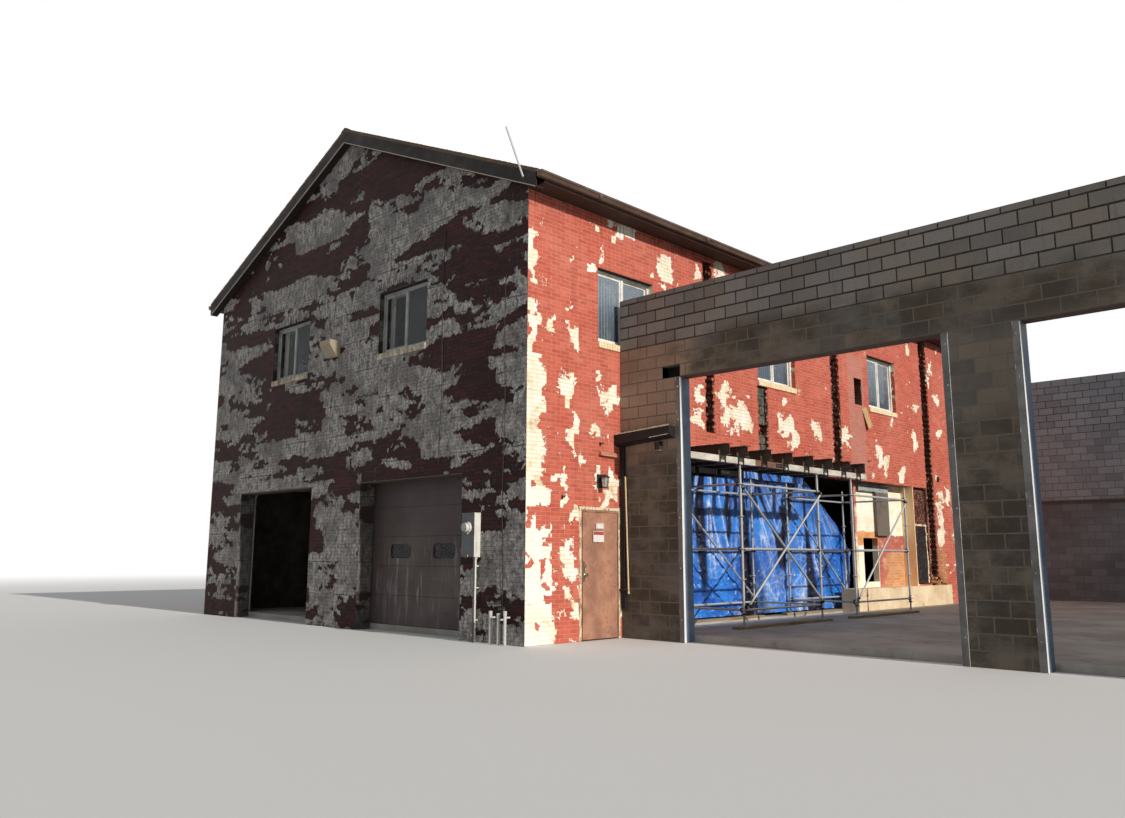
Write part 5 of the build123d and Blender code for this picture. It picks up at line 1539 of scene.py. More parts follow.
def buildDoorway(values):
    metal, knobs, signs, bands, fixed = newHeaps(5)
    face = values["face"]
    for z in values["hinges"]:
        for step in range(5):
            low = z - 0.055 + step * 0.022
            heap = metal if step % 2 else fixed
            addLathe(heap, [(0.0072, 0), (0.0078, 0.001), (0.0078, 0.0205), (0.0072, 0.0215)],
                     Matrix.Translation((values["pinX"], values["pinY"], low)), 16, 0.3)
        for end, lean in ((z - 0.0565, -1), (z + 0.0565, 1)):
            addLathe(fixed, [(0.0058, 0), (0.0062, 0.003), (0.002, 0.006)],
                     standing((values["pinX"], values["pinY"], end), (0, 0, lean)), 14, 0.3)
    for side, deep in ((1, face), (-1, -0.032)):
        base = standing((deep, values["knobY"], values["knobZ"]), (side, 0, 0))
        addLathe(knobs,
                 [(0.0, 0.0), (0.033, 0.0005), (0.033, 0.003), (0.028, 0.007),
                  (0.015, 0.009), (0.0115, 0.014), (0.0115, 0.022), (0.017, 0.027), (0.026, 0.032),
                  (0.028, 0.039), (0.025, 0.044), (0.012, 0.0455), (0.0, 0.0456)], base, 32, 0.5)
        base = standing((deep, values["knobY"], values["lockZ"]), (side, 0, 0))
        addLathe(knobs, [(0.0, 0.0), (0.0235, 0.0005), (0.0235, 0.006), (0.019, 0.010),
                         (0.009, 0.0105), (0.008, 0.0088), (0.0, 0.0088)], base, 28, 0.4)
    # latch guard over the leaf's edge, with its screws
    y0 = values["leaf"][0]
    addBox(knobs, (face + 0.0004, y0 + 0.010, 0.935), (face + 0.0040, y0 + 0.048, 1.255),
           0.35, 0.0012)
    for z in (0.955, 1.095, 1.235):
        addLathe(knobs, [(0.0055, 0), (0.0045, 0.0016), (0.0, 0.0018)],
                 standing((face + 0.004, y0 + 0.029, z), (1, 0, 0)), 12, 0.6)
    for number, (a, b, low, high) in enumerate(values["plates"]):
        addBox(signs, (face + 0.0003, a, low), (face + 0.0026, b, high), 0.5, 0.0010)
        if number == 0:
            for p0, p1 in (((a + .008, low + .008), (b - .008, low + .014)),
                           ((a + .008, high - .014), (b - .008, high - .008)),
                           ((a + .008, low + .014), (a + .014, high - .014)),
                           ((b - .014, low + .014), (b - .008, high - .014))):
                addBox(bands, (face + 0.0026, *p0), (face + 0.0031, *p1), 0.5)
        else:
            addBox(bands, (face + 0.0026, a + 0.006, high - 0.060),
                   (face + 0.0031, b - 0.006, high - 0.006), 0.5, 0.0002)
        for y in (a + 0.018, b - 0.018):
            for z in (low + 0.020, high - 0.020):
                addLathe(metal, [(0.0045, 0), (0.0038, 0.0014), (0.0, 0.0017)],
                         standing((face + 0.0031, y, z), (1, 0, 0)), 12, 0.6)
    # folded seams of the steel leaf and the astragal bead on its closing edge
    seams = newHeap()
    low, high = 0.018, 2.078
    for y in (y0 + 0.004, values["leaf"][1] - 0.022):
        bead = [(face + 0.0001, y), (face + 0.0012, y + 0.002),
                (face + 0.0012, y + 0.012), (face + 0.0001, y + 0.014)]
        addPrism(seams, [(*spot, low) for spot in bead], [(*spot, high) for spot in bead])
    for z0, z1 in ((high - 0.020, high - 0.006), (low + 0.006, low + 0.020)):
        addBox(seams, (face + 0.0001, y0 + 0.03, z0),
               (face + 0.0013, values["leaf"][1] - 0.03, z1), 0.5, 0.0004)
    emit(seams, "doorSeams", doorTone, "side_door")
    emit(metal, "doorFittings", hardwareTone, "side_door")
    emit(knobs, "doorKnobs", hardwareTone, "side_door", replaces=("side_door_knob",))
    emit(signs, "doorPlates", signTone, "side_door")
    emit(bands, "doorPlateBands", bandTone, "side_door")
    emit(fixed, "hingeKnuckles", hardwareTone)


buildDoorway(doorway)
dress(frameTone, "side_door_frame")
report("side door")


# Lamps, meter, conduits, hooks and pipes on the walls

fittings = {"lampY": 1.69, "lampX": 0.118, "lampFoot": 2.45,
            "wedge": (-5.88, -5.50, 5.28, 5.60), "pier": (0.82, 0.93, 3.075, 3.205),
            "meter": (-1.38, -1.06, 1.32, 2.02), "meterZ": 1.79,
            "conduitX": -1.11, "stubs": ((-0.67, 0.50), (-0.485, 0.47), (-0.335, 0.51)),
            "hooks": ((0.789, 2.272), (1.696, 3.204), (11.36, 3.62)), "vent": (15.36, 3.42),
            "straps": (0.34, 0.84, 1.18),
            "cornerPipe": ((0.176, 2.196, 0.72), (0.124, 2.196, 2.675)),
            # across, top and foot of each cable
            "cables": ((-0.52, 5.9, 0.0), (-2.18, 7.1, 2.9))}


def buildLamps(values):
    black, glass = newHeaps(2)
    x, y, foot = values["lampX"], values["lampY"], values["lampFoot"]
    place = Matrix.Translation((x, y, foot))
    # back plate in two steps, arm, ribbed cap with a ball, jar between six bars
    addBox(black, (0.0, y - 0.08, foot + 0.012), (0.012, y + 0.08, foot + 0.24), 0.5, 0.004)
    addBox(black, (0.012, y - 0.062, foot + 0.030), (0.022, y + 0.062, foot + 0.222), 0.5, 0.004)
    addTube(black, (0.02, y, foot + 0.212), (x, y, foot + 0.212), 0.011, 16)
    addLathe(black, [(0.0, 0.178), (0.074, 0.178), (0.082, 0.184), (0.081, 0.190),
                     (0.058, 0.202), (0.052, 0.214), (0.034, 0.222), (0.016, 0.228),
                     (0.010, 0.232), (0.012, 0.236), (0.007, 0.240), (0.0, 0.240)], place, 32)
    addLathe(black, [(0.0, 0.0), (0.010, 0.001), (0.018, 0.006),
                     (0.040, 0.009), (0.046, 0.014), (0.046, 0.020), (0.0, 0.020)], place, 32)
    addLathe(glass, [(0.0, 0.021), (0.041, 0.021), (0.063, 0.177), (0.0, 0.177)], place, 32)
    for step in range(6):
        turn = Matrix.Rotation(step * math.tau / 6, 4, "Z")
        addTube(black, place @ turn @ Vector((0.046, 0, 0.016)),
                place @ turn @ Vector((0.068, 0, 0.180)), 0.0028, 8)
    for dy in (-0.07, 0.07):
        addBolt(black, (0.012, y + dy, foot + 0.126), (1, 0, 0), 0.006)
    emit(black, "coachLampCasting", blackTone, replaces=("side_wall_lamp",))
    emit(glass, "coachLampJar", lampGlass)
    bezel, lens = newHeaps(2)
    a, b, low, high = values["wedge"]
    # the sloping lens sits in a bezel between the lip and the deep top
    down, out = Vector((0, -0.03, low)), Vector((0, -0.25, high - 0.03))
    slope = (out - down).normalized()
    outward = Vector((0, -slope.z, slope.y))
    for u0, u1, v0, v1, heap, rise in ((a + .030, b - .030, .035, .335, lens, 0.0012),
                                       (a + .012, a + .030, .018, .352, bezel, 0.004),
                                       (b - .030, b - .012, .018, .352, bezel, 0.004),
                                       (a + .030, b - .030, .018, .035, bezel, 0.004),
                                       (a + .030, b - .030, .335, .352, bezel, 0.004)):
        rings = []
        for lift in (-0.001, rise):
            spots = [(u, down + slope * v - outward * lift)
                     for u, v in ((u0, v0), (u1, v0), (u1, v1), (u0, v1))]
            rings.append([(u, spot.y, spot.z) for u, spot in spots])
        addPrism(heap, *rings)
    for u in (a + 0.05, (a + b) / 2, b - 0.05):
        addLathe(bezel, [(0.006, 0), (0.005, 0.003), (0.0, 0.0035)],
                 standing((u, -0.2465, high - 0.014), (0, -1, 0)), 12)
    addBox(bezel, (a - 0.004, -0.2495, high - 0.006), (b + 0.004, -0.001, high - 0.001),
           0.5, 0.0015)
    emit(bezel, "wedgeLampBezel", beigeTone)
    emit(lens, "wedgeLampLens", lampGlass)
    parts, glow = newHeaps(2)
    a, b, low, high = values["pier"]
    addBox(parts, (a, 2.132, low), (b, 2.2195, high), 0.5, 0.004)
    addBox(parts, (a - 0.004, 2.126, high - 0.010), (b + 0.004, 2.2195, high + 0.002), 0.5, 0.003)
    for x in (a + 0.004, b - 0.016):
        addBox(parts, (x, 2.1265, low + 0.002), (x + 0.012, 2.131, high - 0.012), 0.5, 0.001)
    addBox(parts, (a + 0.004, 2.1265, low + 0.002), (b - 0.004, 2.131, low + 0.012), 0.5, 0.001)
    addBox(glow, (a + 0.012, 2.140, low - 0.012), (b - 0.012, 2.212, low + 0.001), 0.5, 0.001)
    addBox(glow, (a - 0.010, 2.140, low - 0.006), (a - 0.001, 2.212, high - 0.03), 0.5, 0.001)
    emit(parts, "pierLampTrim", blackTone, replaces=("pier_lamp",))
    emit(glow, "pierLampLens", lampGlass)


def buildFittings(values):
    grey, glass, marks = newHeaps(3)
    a, b, low, high = values["meter"]
    middle, z = (a + b) / 2, values["meterZ"]
    face = -0.13
    # door panel in its folded frame, rain hood, hasp, meter socket and glass
    addBox(grey, (a + 0.006, face - 0.0035, low + 0.012), (b - 0.006, face - 0.0002, z - 0.125),
           0.5, 0.0015)
    addBox(grey, (a - 0.003, face - 0.010, high - 0.004), (b + 0.003, -0.0005, high + 0.006),
           0.5, 0.002)
    addBox(grey, (middle - 0.018, face - 0.016, low + 0.004),
           (middle + 0.018, face - 0.003, low + 0.040), 0.5, 0.003)
    addLathe(grey, [(0.0905, 0.0), (0.0905, 0.012), (0.086, 0.018),
                    (0.079, 0.018), (0.079, 0.004)], standing((middle, face, z), (0, -1, 0)), 40)
    addBox(grey, (middle - 0.012, face - 0.026, z - 0.105),
           (middle + 0.012, face - 0.001, z - 0.086), 0.5, 0.002)
    addLathe(glass, [(0.0, 0.099), (0.045, 0.0985), (0.064, 0.095), (0.0705, 0.088),
                     (0.0725, 0.02), (0.0, 0.02)], standing((middle, face, z), (0, -1, 0)), 40)
    for step in range(5):
        spot = Vector((middle - 0.036 + 0.018 * step, face - 0.0952, z + 0.014))
        addLathe(marks, [(0.0068, 0), (0.0068, 0.0006), (0.0054, 0.0006), (0.0054, 0)],
                 standing(spot, (0, -1, 0)), 16)
    for x in (a + 0.012, b - 0.012):
        for height in (low + 0.05, z - 0.16):
            addLathe(grey, [(0.006, 0), (0.005, 0.0025), (0.0, 0.003)],
                     standing((x, face - 0.0035, height), (0, -1, 0)), 12)
    x = values["conduitX"]
    for height, size in ((low - 0.020, 0.036), (0.62, 0.0315), (1.02, 0.0315), (0.055, 0.034)):
        addLathe(grey, [(size, -0.014), (size, 0.012), (size - 0.003, 0.016), (0.0275, 0.0165)],
                 Matrix.Translation((x, -0.065, height)), 24)
    for height in values["straps"]:
        addBox(grey, (x - 0.062, -0.006, height - 0.012), (x + 0.062, -0.001, height + 0.012),
               0.5, 0.001)
        addTube(grey, (x, -0.065, height - 0.010), (x, -0.065, height + 0.010), 0.0305, 24)
        addBox(grey, (x - 0.0305, -0.065, height - 0.010), (x + 0.0305, -0.004, height + 0.010),
               0.5, 0.0015)
    emit(grey, "meterFittings", meterTone)
    emit(glass, "meterGlass", lampGlass)
    emit(marks, "meterDials", blackTone)
    pipes = newHeap()
    for x, top in values["stubs"]:
        addLathe(pipes, [(0.024, 0.0), (0.024, top - 0.07), (0.0295, top - 0.068),
                         (0.0295, top - 0.002), (0.027, top), (0.024, top), (0.024, top - 0.04),
                         (0.0, top - 0.04)], Matrix.Translation((x, -0.10, 0.0)), 20)
        addTube(pipes, (x, -0.10, top - 0.10), (x, -0.004, top - 0.10), 0.016, 16)
    emit(pipes, "pipeStubs", pvcTone)
    tube = newHeap()
    # pale conduit beside the corner: it leans a little and ends on a stub into the brick
    foot, head = (Vector(end) for end in values["cornerPipe"])
    addTube(tube, foot, head, 0.0135, 18)
    addLathe(tube, [(0.0175, 0), (0.0175, 0.03), (0.0140, 0.034)], standing(foot, head - foot), 18)
    emit(tube, "creamConduitRun", creamPipe)
    dark = newHeap()
    addTube(dark, (0.001, 2.150, 0.785), (0.176, 2.186, 0.79), 0.014, 14)
    for share in (0.15, 0.5, 0.82):
        spot = foot.lerp(head, share)
        addBox(dark, (spot.x - 0.012, 2.2045, spot.z - 0.009),
               (spot.x + 0.012, 2.2195, spot.z + 0.009), 0.5, 0.001)
    for y, z in values["hooks"]:
        addBox(dark, (0.0005, y - 0.022, z - 0.030), (0.007, y + 0.022, z + 0.030), 0.5, 0.002)
        addTube(dark, (0.005, y, z + 0.008), (0.065, y, z - 0.004), 0.009, 12)
        addTube(dark, (0.062, y, z - 0.006), (0.078, y, z + 0.030), 0.009, 12, endRadius=0.007)
    y, z = values["vent"]
    addLathe(dark, [(0.040, 0.0), (0.078, 0.0005), (0.078, 0.010), (0.066, 0.024),
                    (0.052, 0.024), (0.044, 0.010)], standing((0.0, y, z), (1, 0, 0)), 32)
    addLathe(dark, [(0.0, 0.004), (0.042, 0.0035), (0.042, 0.0005)],
             standing((0.0, y, z), (1, 0, 0)), 32)
    for step in range(-2, 3):
        addBox(dark, (0.009, y - 0.040, z + step * 0.016 - 0.0022),
               (0.016, y + 0.040, z + step * 0.016 + 0.0022), 0.5, 0.0006)
    # two thin cables down the gable, in clips
    for x, top, foot in values["cables"]:
        steps = 26
        for step in range(steps):
            heights = [top + (foot - top) * (step + end) / steps for end in (0, 1)]
            sway = [0.018 * math.sin(height * 2.3 + x) for height in heights]
            addTube(dark, (x + sway[0], -0.007, heights[0]),
                    (x + sway[1], -0.007, heights[1]), 0.0055, 8)
        for step in range(2, steps, 6):
            height = top + (foot - top) * step / steps
            middle = x + 0.018 * math.sin(height * 2.3 + x)
            addBox(dark, (middle - 0.014, -0.014, height - 0.006),
                   (middle + 0.014, -0.0005, height + 0.006), 0.5, 0.001)
    emit(dark, "wallHooksAndStubs", blackTone)


buildLamps(fittings)
buildFittings(fittings)
report("fixtures")


# Broken brickwork: toothed chase edges, block infill, the recess, rubble and two boards

broken = {"course": house["course"], "joint": 0.010, "brick": 0.203, "depth": 0.198,
          # near edge, far edge, foot and top of each chase
          "chases": ((4.73, 5.05, 3.70, 7.15), (6.56, 6.96, 3.44, 4.86), (9.68, 10.10, 3.40, 7.15),
                     (14.60, 15.08, 0.60, 7.15)),
          "infill": (6.56, 6.96, 3.44, 4.86), "openCourse": 3,
          "recess": (13.78, 14.60, 0.64, 3.10),
          "panel": (13.875, 14.50, 0.66, 2.12), "rubble": 26,
          "board": (0.030, 11.36, 4.69), "tilt": ((20, "X"), (-7, "Y")),
          # the ledge's two ends, and how far each hangs down
          "ledge": ((1.664, 0.0), (2.118, 0.012))}

endBrick = brickFinish("brokenBricks", tint(116, 64, 50), tint(74, 42, 36),
                       tint(164, 140, 122), tint(58, 42, 36))
tanBrick = brickFinish("tanBricks", tint(178, 128, 84), tint(136, 92, 62),
                       tint(206, 176, 138), tint(96, 70, 52))
infillTone = brickFinish("greyInfill", tint(98, 98, 88), tint(66, 66, 60),
                         tint(134, 132, 120), tint(48, 46, 42))
panelTone = metalFinish("blackPanel", tint(30, 27, 29), tint(20, 18, 20),
                        tint(104, 84, 74), rustAmount=0.45, roughness=0.8)


def buildBrokenBrick(values):
    dice = random.Random(17)
    teeth, chunks = newHeaps(2)
    course, joint, depth = values["course"], values["joint"], values["depth"]
    for near, far, foot, top in values["chases"]:
        for edge, way in ((near, 1), (far, -1)):
            row = math.ceil(foot / course)
            while (row + 1) * course < top:
                low = row * course + joint / 2
                reach = (0.012 if row % 2 else 0.052) + dice.uniform(-0.010, 0.022)
                if dice.random() < 0.12:
                    reach = 0.006
                a, b = sorted((edge - way * 0.001, edge + way * reach))
                # face end clean or knocked back, the inner ends ragged
                front = -0.0015 if dice.random() < 0.6 else -dice.uniform(0.01, 0.05)
                addBox(teeth, (-depth, a, low), (front, b, low + course - joint),
                       dice.random(), 0.004)
                if dice.random() < 0.5:
                    a, b = sorted((edge, edge + way * dice.uniform(0.02, 0.075)))
                    back = -dice.uniform(0.10, 0.16)
                    addBox(chunks, (-depth, a, low - 0.002),
                           (back, b, low + course - joint), dice.random(), 0.006)
                row += 1
    # heads and broken mortar on the back of each chase
    for near, far, foot, top in values["chases"]:
        row = math.ceil(foot / course)
        while (row + 1) * course < top - 0.01:
            y = near + 0.01 - dice.uniform(0, 0.06)
            while y < far - 0.03:
                end = min(far - 0.004, y + values["brick"] / 2 - joint)
                start = max(near + 0.004, y)
                if end - start > 0.02 and dice.random() < 0.86:
                    addBox(chunks, (-depth, start, row * course + joint / 2),
                           (-depth + dice.uniform(0.006, 0.05),
                            end, (row + 1) * course - joint / 2), dice.random(), 0.004)
                y += values["brick"] / 2
            row += 1
    emit(teeth, "toothedChaseEdges", paintSide)
    emit(chunks, "brokenChaseBricks", endBrick)
    infill = newHeap()
    near, far, foot, top = values["infill"]
    high = foot
    number = 0
    while high < top - 0.05:
        low, high = high, min(high + 0.203, top)
        number += 1
        if number == values["openCourse"]:
            continue
        seam = near + (far - near) * (0.42 if number % 2 else 0.63)
        for a, b in ((near + 0.045, seam - 0.006), (seam + 0.006, far - 0.045)):
            face = -0.055 - dice.uniform(0, 0.012)
            addBox(infill, (-0.19, a, low + 0.006), (face, b, high - 0.006), dice.random(), 0.006)
    emit(infill, "chaseInfill", infillTone)
    # brick heads in the recess beside the tall chase, and the black panel in its foot
    rows = newHeap()
    near, far, foot, top = values["recess"]
    row = math.ceil(foot / course)
    while (row + 1) * course < top:
        y = near + 0.004 + (0.0 if row % 2 else 0.05)
        while y < far - 0.03:
            end = min(far - 0.004, y + 0.093)
            if dice.random() < 0.93:
                addBox(rows, (-0.109, y, row * course + joint / 2),
                       (-0.098 + dice.uniform(0, 0.018), end, (row + 1) * course - joint / 2),
                       dice.random(), 0.003)
            y += 0.1015
        row += 1
    emit(rows, "recessBricks", endBrick)
    panel, shreds = newHeaps(2)
    near, far, foot, top = values["panel"]
    addBox(panel, (-0.085, near, foot), (-0.055, far, top), 0.5, 0.004)
    for z in (foot + 0.32, foot + 0.86, top - 0.16):
        addBox(panel, (-0.0552, near + 0.02, z - 0.02), (-0.048, far - 0.02, z + 0.02), 0.5, 0.002)
    emit(panel, "recessPanel", panelTone)
    z = foot
    while z < top + 0.02:
        tall = dice.uniform(0.05, 0.15)
        for edge, way in ((far, 1), (near, -1)):
            if edge == near and dice.random() < 0.5:
                continue
            a, b = sorted((edge + way * 0.002, edge + way * dice.uniform(0.022, 0.075)))
            face = -0.030 - dice.uniform(0, 0.03)
            addBox(shreds, (-0.097, a, z), (face, b, min(z + tall - 0.006, top + 0.05)),
                   dice.random(), 0.006)
        z += tall
    y = near
    while y < far:
        wide = dice.uniform(0.06, 0.16)
        face, high = -0.035 - dice.uniform(0, 0.02), top + dice.uniform(0.02, 0.07)
        addBox(shreds, (-0.097, y, top + 0.004), (face, min(y + wide - 0.005, far), high),
               dice.random(), 0.006)
        y += wide
    emit(shreds, "recessPlasterEdge", sillSide)
    rubble = newHeap()
    for step in range(values["rubble"]):
        size = Vector((dice.uniform(.03, .055), dice.uniform(.03, .10), dice.uniform(.02, .035)))
        spot = Matrix.Translation((dice.uniform(-0.14, 0.045), dice.uniform(14.64, 15.34),
                                   0.60 + size.z + (0.05 * (step % 4) if step % 2 else 0.0)))
        tip = Matrix.Rotation(dice.uniform(-0.5, 0.5), 4, "X")
        tip = tip @ Matrix.Rotation(dice.uniform(0, 3.1), 4, "Z")
        addBox(rubble, -size, size, dice.random(), 0.007, spot @ tip)
    emit(rubble, "chaseRubble", tanBrick)
    board = newHeap()
    turn = Matrix.Translation(values["board"])
    for degrees, axis in values["tilt"]:
        turn = turn @ Matrix.Rotation(math.radians(degrees), 4, axis)
    addBox(board, (-0.010, -0.115, -0.27), (0.010, 0.115, 0.25), 0.4, 0.003, turn)
    addBox(board, (0.010, -0.105, 0.10), (0.022, 0.105, 0.14), 0.6, 0.003, turn)
    emit(board, "hangingBoard", boardTone)
    # short ledge over the door's far side: a board with a drip edge
    ledge = newHeap()
    outline = [(0.0005, 3.020), (0.060, 3.008), (0.060, 3.066), (0.0005, 3.096)]
    addPrism(ledge, *([(x, y, z - drop) for x, z in outline] for y, drop in values["ledge"]))
    emit(ledge, "ledgeBoard", ledgeWood)


ledgeWood = timberFinish("ledgeWood", tint(206, 146, 116), tint(164, 100, 76), tint(214, 168, 136))
boardTone = timberFinish("paleBoard", tint(214, 178, 124), tint(170, 132, 88),
                         tint(190, 168, 134), along="Z")
buildBrokenBrick(broken)
report("broken brickwork")


# Eaves and gutters: rolled lip, bead lines, hangers and sleeves; crust in the old gutter

trims = {"back": 0.375, "front": 0.490, "rim": 7.389, "ends": (-0.175, 19.975),
         "ridgeX": -house["width"] / 2, "hangerPitch": 0.61, "sleevePitch": 3.05}


def buildTrims(values):
    metal, pale = newHeaps(2)
    front, rim = values["front"], values["rim"]
    y0, y1 = values["ends"]
    for side in (1, -1):
        start = len(metal["points"])
        addTube(metal, (front - 0.004, y0, rim - 0.003), (front - 0.004, y1, rim - 0.003),
                0.0065, 10)
        for lift in (0.022, 0.034):
            addTube(metal, (front - 0.0005, y0, rim - lift),
                    (front - 0.0005, y1, rim - lift), 0.0026, 8)
        y = y0 + 0.25
        while y < y1:
            addBox(metal, (values["back"] + 0.002, y - 0.009, rim - 0.010),
                   (front - 0.004, y + 0.009, rim - 0.0075), 0.5, 0.0008)
            y += values["hangerPitch"]
        y = y0 + 1.4
        while y < y1:
            outline = [(front - 0.003, rim - 0.004), (front + 0.0022, rim - 0.006),
                       (front + 0.0022, rim - 0.062), (front - 0.022, rim - 0.097),
                       (front - 0.075, rim - 0.0975), (front - 0.075, rim - 0.0955),
                       (front - 0.024, rim - 0.094), (front - 0.001, rim - 0.060)]
            addPrism(metal,
                     *([(x, place, z) for x, z in outline] for place in (y - 0.035, y + 0.035)))
            y += values["sleevePitch"]
        if side < 0:
            for point in metal["points"][start:]:
                point.x = 2 * values["ridgeX"] - point.x
    emit(metal, "gutterBeads", gutterTone)
    # pale drip strip under both rake boards, and at the eave corners; its pale colour is a painted
    # highlight for the sunlit lower edge of the rake trim
    for side in (1, -1):
        for y, way in ((y0 + 0.012, -1), (y1 - 0.012, 1)):
            points = []
            for x in (0.33, values["ridgeX"] + 0.02):
                z = house["eave"] - x * house["slope"] + 0.040
                shown = x if side > 0 else 2 * values["ridgeX"] - x
                for dy in (0.0, way * 0.020):
                    for dz in (0.0, 0.016):
                        points.append((shown, y + dy, z + dz))
            addShape(pale, points, [(0, 1, 3, 2), (4, 5, 7, 6),
                                    (0, 1, 5, 4), (2, 3, 7, 6), (0, 2, 6, 4), (1, 3, 7, 5)])
    emit(pale, "rakeDripStrips", rakeLitEdgeTone)


oldGutter = {"front": 2.045, "back": 2.2195, "end": 1.19, "metal": 0.003,
             # height of its foot and rim at each end
             "feet": (3.182, 3.262), "rims": (3.385, 3.445), "crumbs": 112, "underCrumbs": 30}


def buildOldGutter(values):
    dice = random.Random(29)
    crust, gutter = newHeaps(2)
    front, back, end, metal = (values[key] for key in ("front", "back", "end", "metal"))

    def level(ends, x):
        return ends[0] + (ends[1] - ends[0]) * x / end

    # the shell and its two end caps, as (y, share of the height) pairs
    cap = [(back, 1.0), (back, 0.0), (back - 0.07, 0.0), (front, 0.22), (front, 1.0)]
    shell = cap + [(front + metal, 1.0), (front + metal, 0.24),
                   (back - 0.069, 0.02), (back - metal, 0.02), (back - metal, 1.0)]
    for ring, a, b in ((shell, 0.002, end), (cap, 0.002, 0.005), (cap, end - 0.003, end)):
        rings = []
        for x in (a, b):
            foot, rim = level(values["feet"], x), level(values["rims"], x)
            rings.append([(x, y, foot + (rim - foot) * share) for y, share in ring])
        addPrism(gutter, *rings)
    count = values["crumbs"]
    for edge in (back - 0.006, front - 0.001):
        for step in range(count):
            a, b = (0.004 + (end - 0.01) * place / count for place in (step, step + 1))
            rim = level(values["rims"], a)
            tall = 0.010 + 0.016 * dice.random() + 0.010 * abs(noise.noise((a * 6, edge, 3.0)))
            addBox(crust, (a, edge, rim - 0.001), (b, edge + 0.009, rim + tall),
                   dice.random(), 0.0015)
    for step in range(values["underCrumbs"]):
        x = 0.78 + 0.4 * step / values["underCrumbs"]
        foot = level(values["feet"], x) + 0.22 * 0.19
        addBox(crust, (x, front - 0.004, foot - 0.006 * dice.random()),
               (x + 0.0125, front + 0.004, foot + 0.008), dice.random(), 0.0015)
    emit(gutter, "oldGutterShell", brownTone, replaces=("old_gutter",))
    emit(crust, "oldGutterCrust", crustTone)


gutterTone = enamelFinish("gutterBrown", tint(92, 72, 62), tint(58, 44, 38),
                          tint(128, 110, 98), roughness=0.38)
dress(gutterTone, "gutters")
buildTrims(trims)
buildOldGutter(oldGutter)
report("gutters and trim")


# Shoring: rosettes, wedge heads, jack threads and plates; clamps, stiffeners and bolts

shoring = {"rows": (1.13, -0.41), "towers": ((4.15, 6.83), (8.23, 10.74)), "tube": 0.024,
           "levels": (0.42, 1.47, 2.61), "between": (0.945, 2.04), "jackFoot": 0.155,
           "jackTop": 0.345, "needles": (3.56, 4.12, 4.88, 5.62, 6.38, 7.12, 7.86, 8.50),
           "stringers": ((1.13, 2.64, 8.86), (-0.41, 3.40, 8.86)), "stringerFoot": 2.96,
           "stringerTop": 3.07, "half": 0.045,
           # row, tower and whether the brace rises towards the rear
           "braces": ((0, 0, False), (1, 0, False), (0, 1, True), (1, 1, False)),
           "extra": ((0, 0, True),), "spigot": 1.915,
           # bolts of the header angle: first, pitch, count, height
           "headerBolts": (3.60, 0.235, 13, 3.335),
           # bay jambs: edge and the way its flange turns, and the heights of their bolts
           "jambs": ((1.31, -1), (5.63, 1), (6.6228, -1), (10.9428, 1)),
           "jambBolts": (0.35, 1.15, 1.95, 2.75, 3.55, 4.1)}


def addCoupler(heap, place, way, size=0.030):
    # wedge head on a tube end: body, slot cheeks and the driven wedge
    place = Vector(place)
    turn = Matrix.Translation(place) @ Vector(way).to_track_quat("Y", "Z").to_matrix().to_4x4()
    addBox(heap, (-size * 0.72, -0.001, -size), (size * 0.72, 0.048, size), 0.4, 0.004, turn)
    addBox(heap, (-size * 0.80, 0.006, -size * 1.3), (size * 0.80, 0.020, -size * 0.9),
           0.4, 0.002, turn)
    addBox(heap, (-0.004, 0.010, -size * 1.8), (0.004, 0.026, size * 1.9), 0.4, 0.0015, turn)


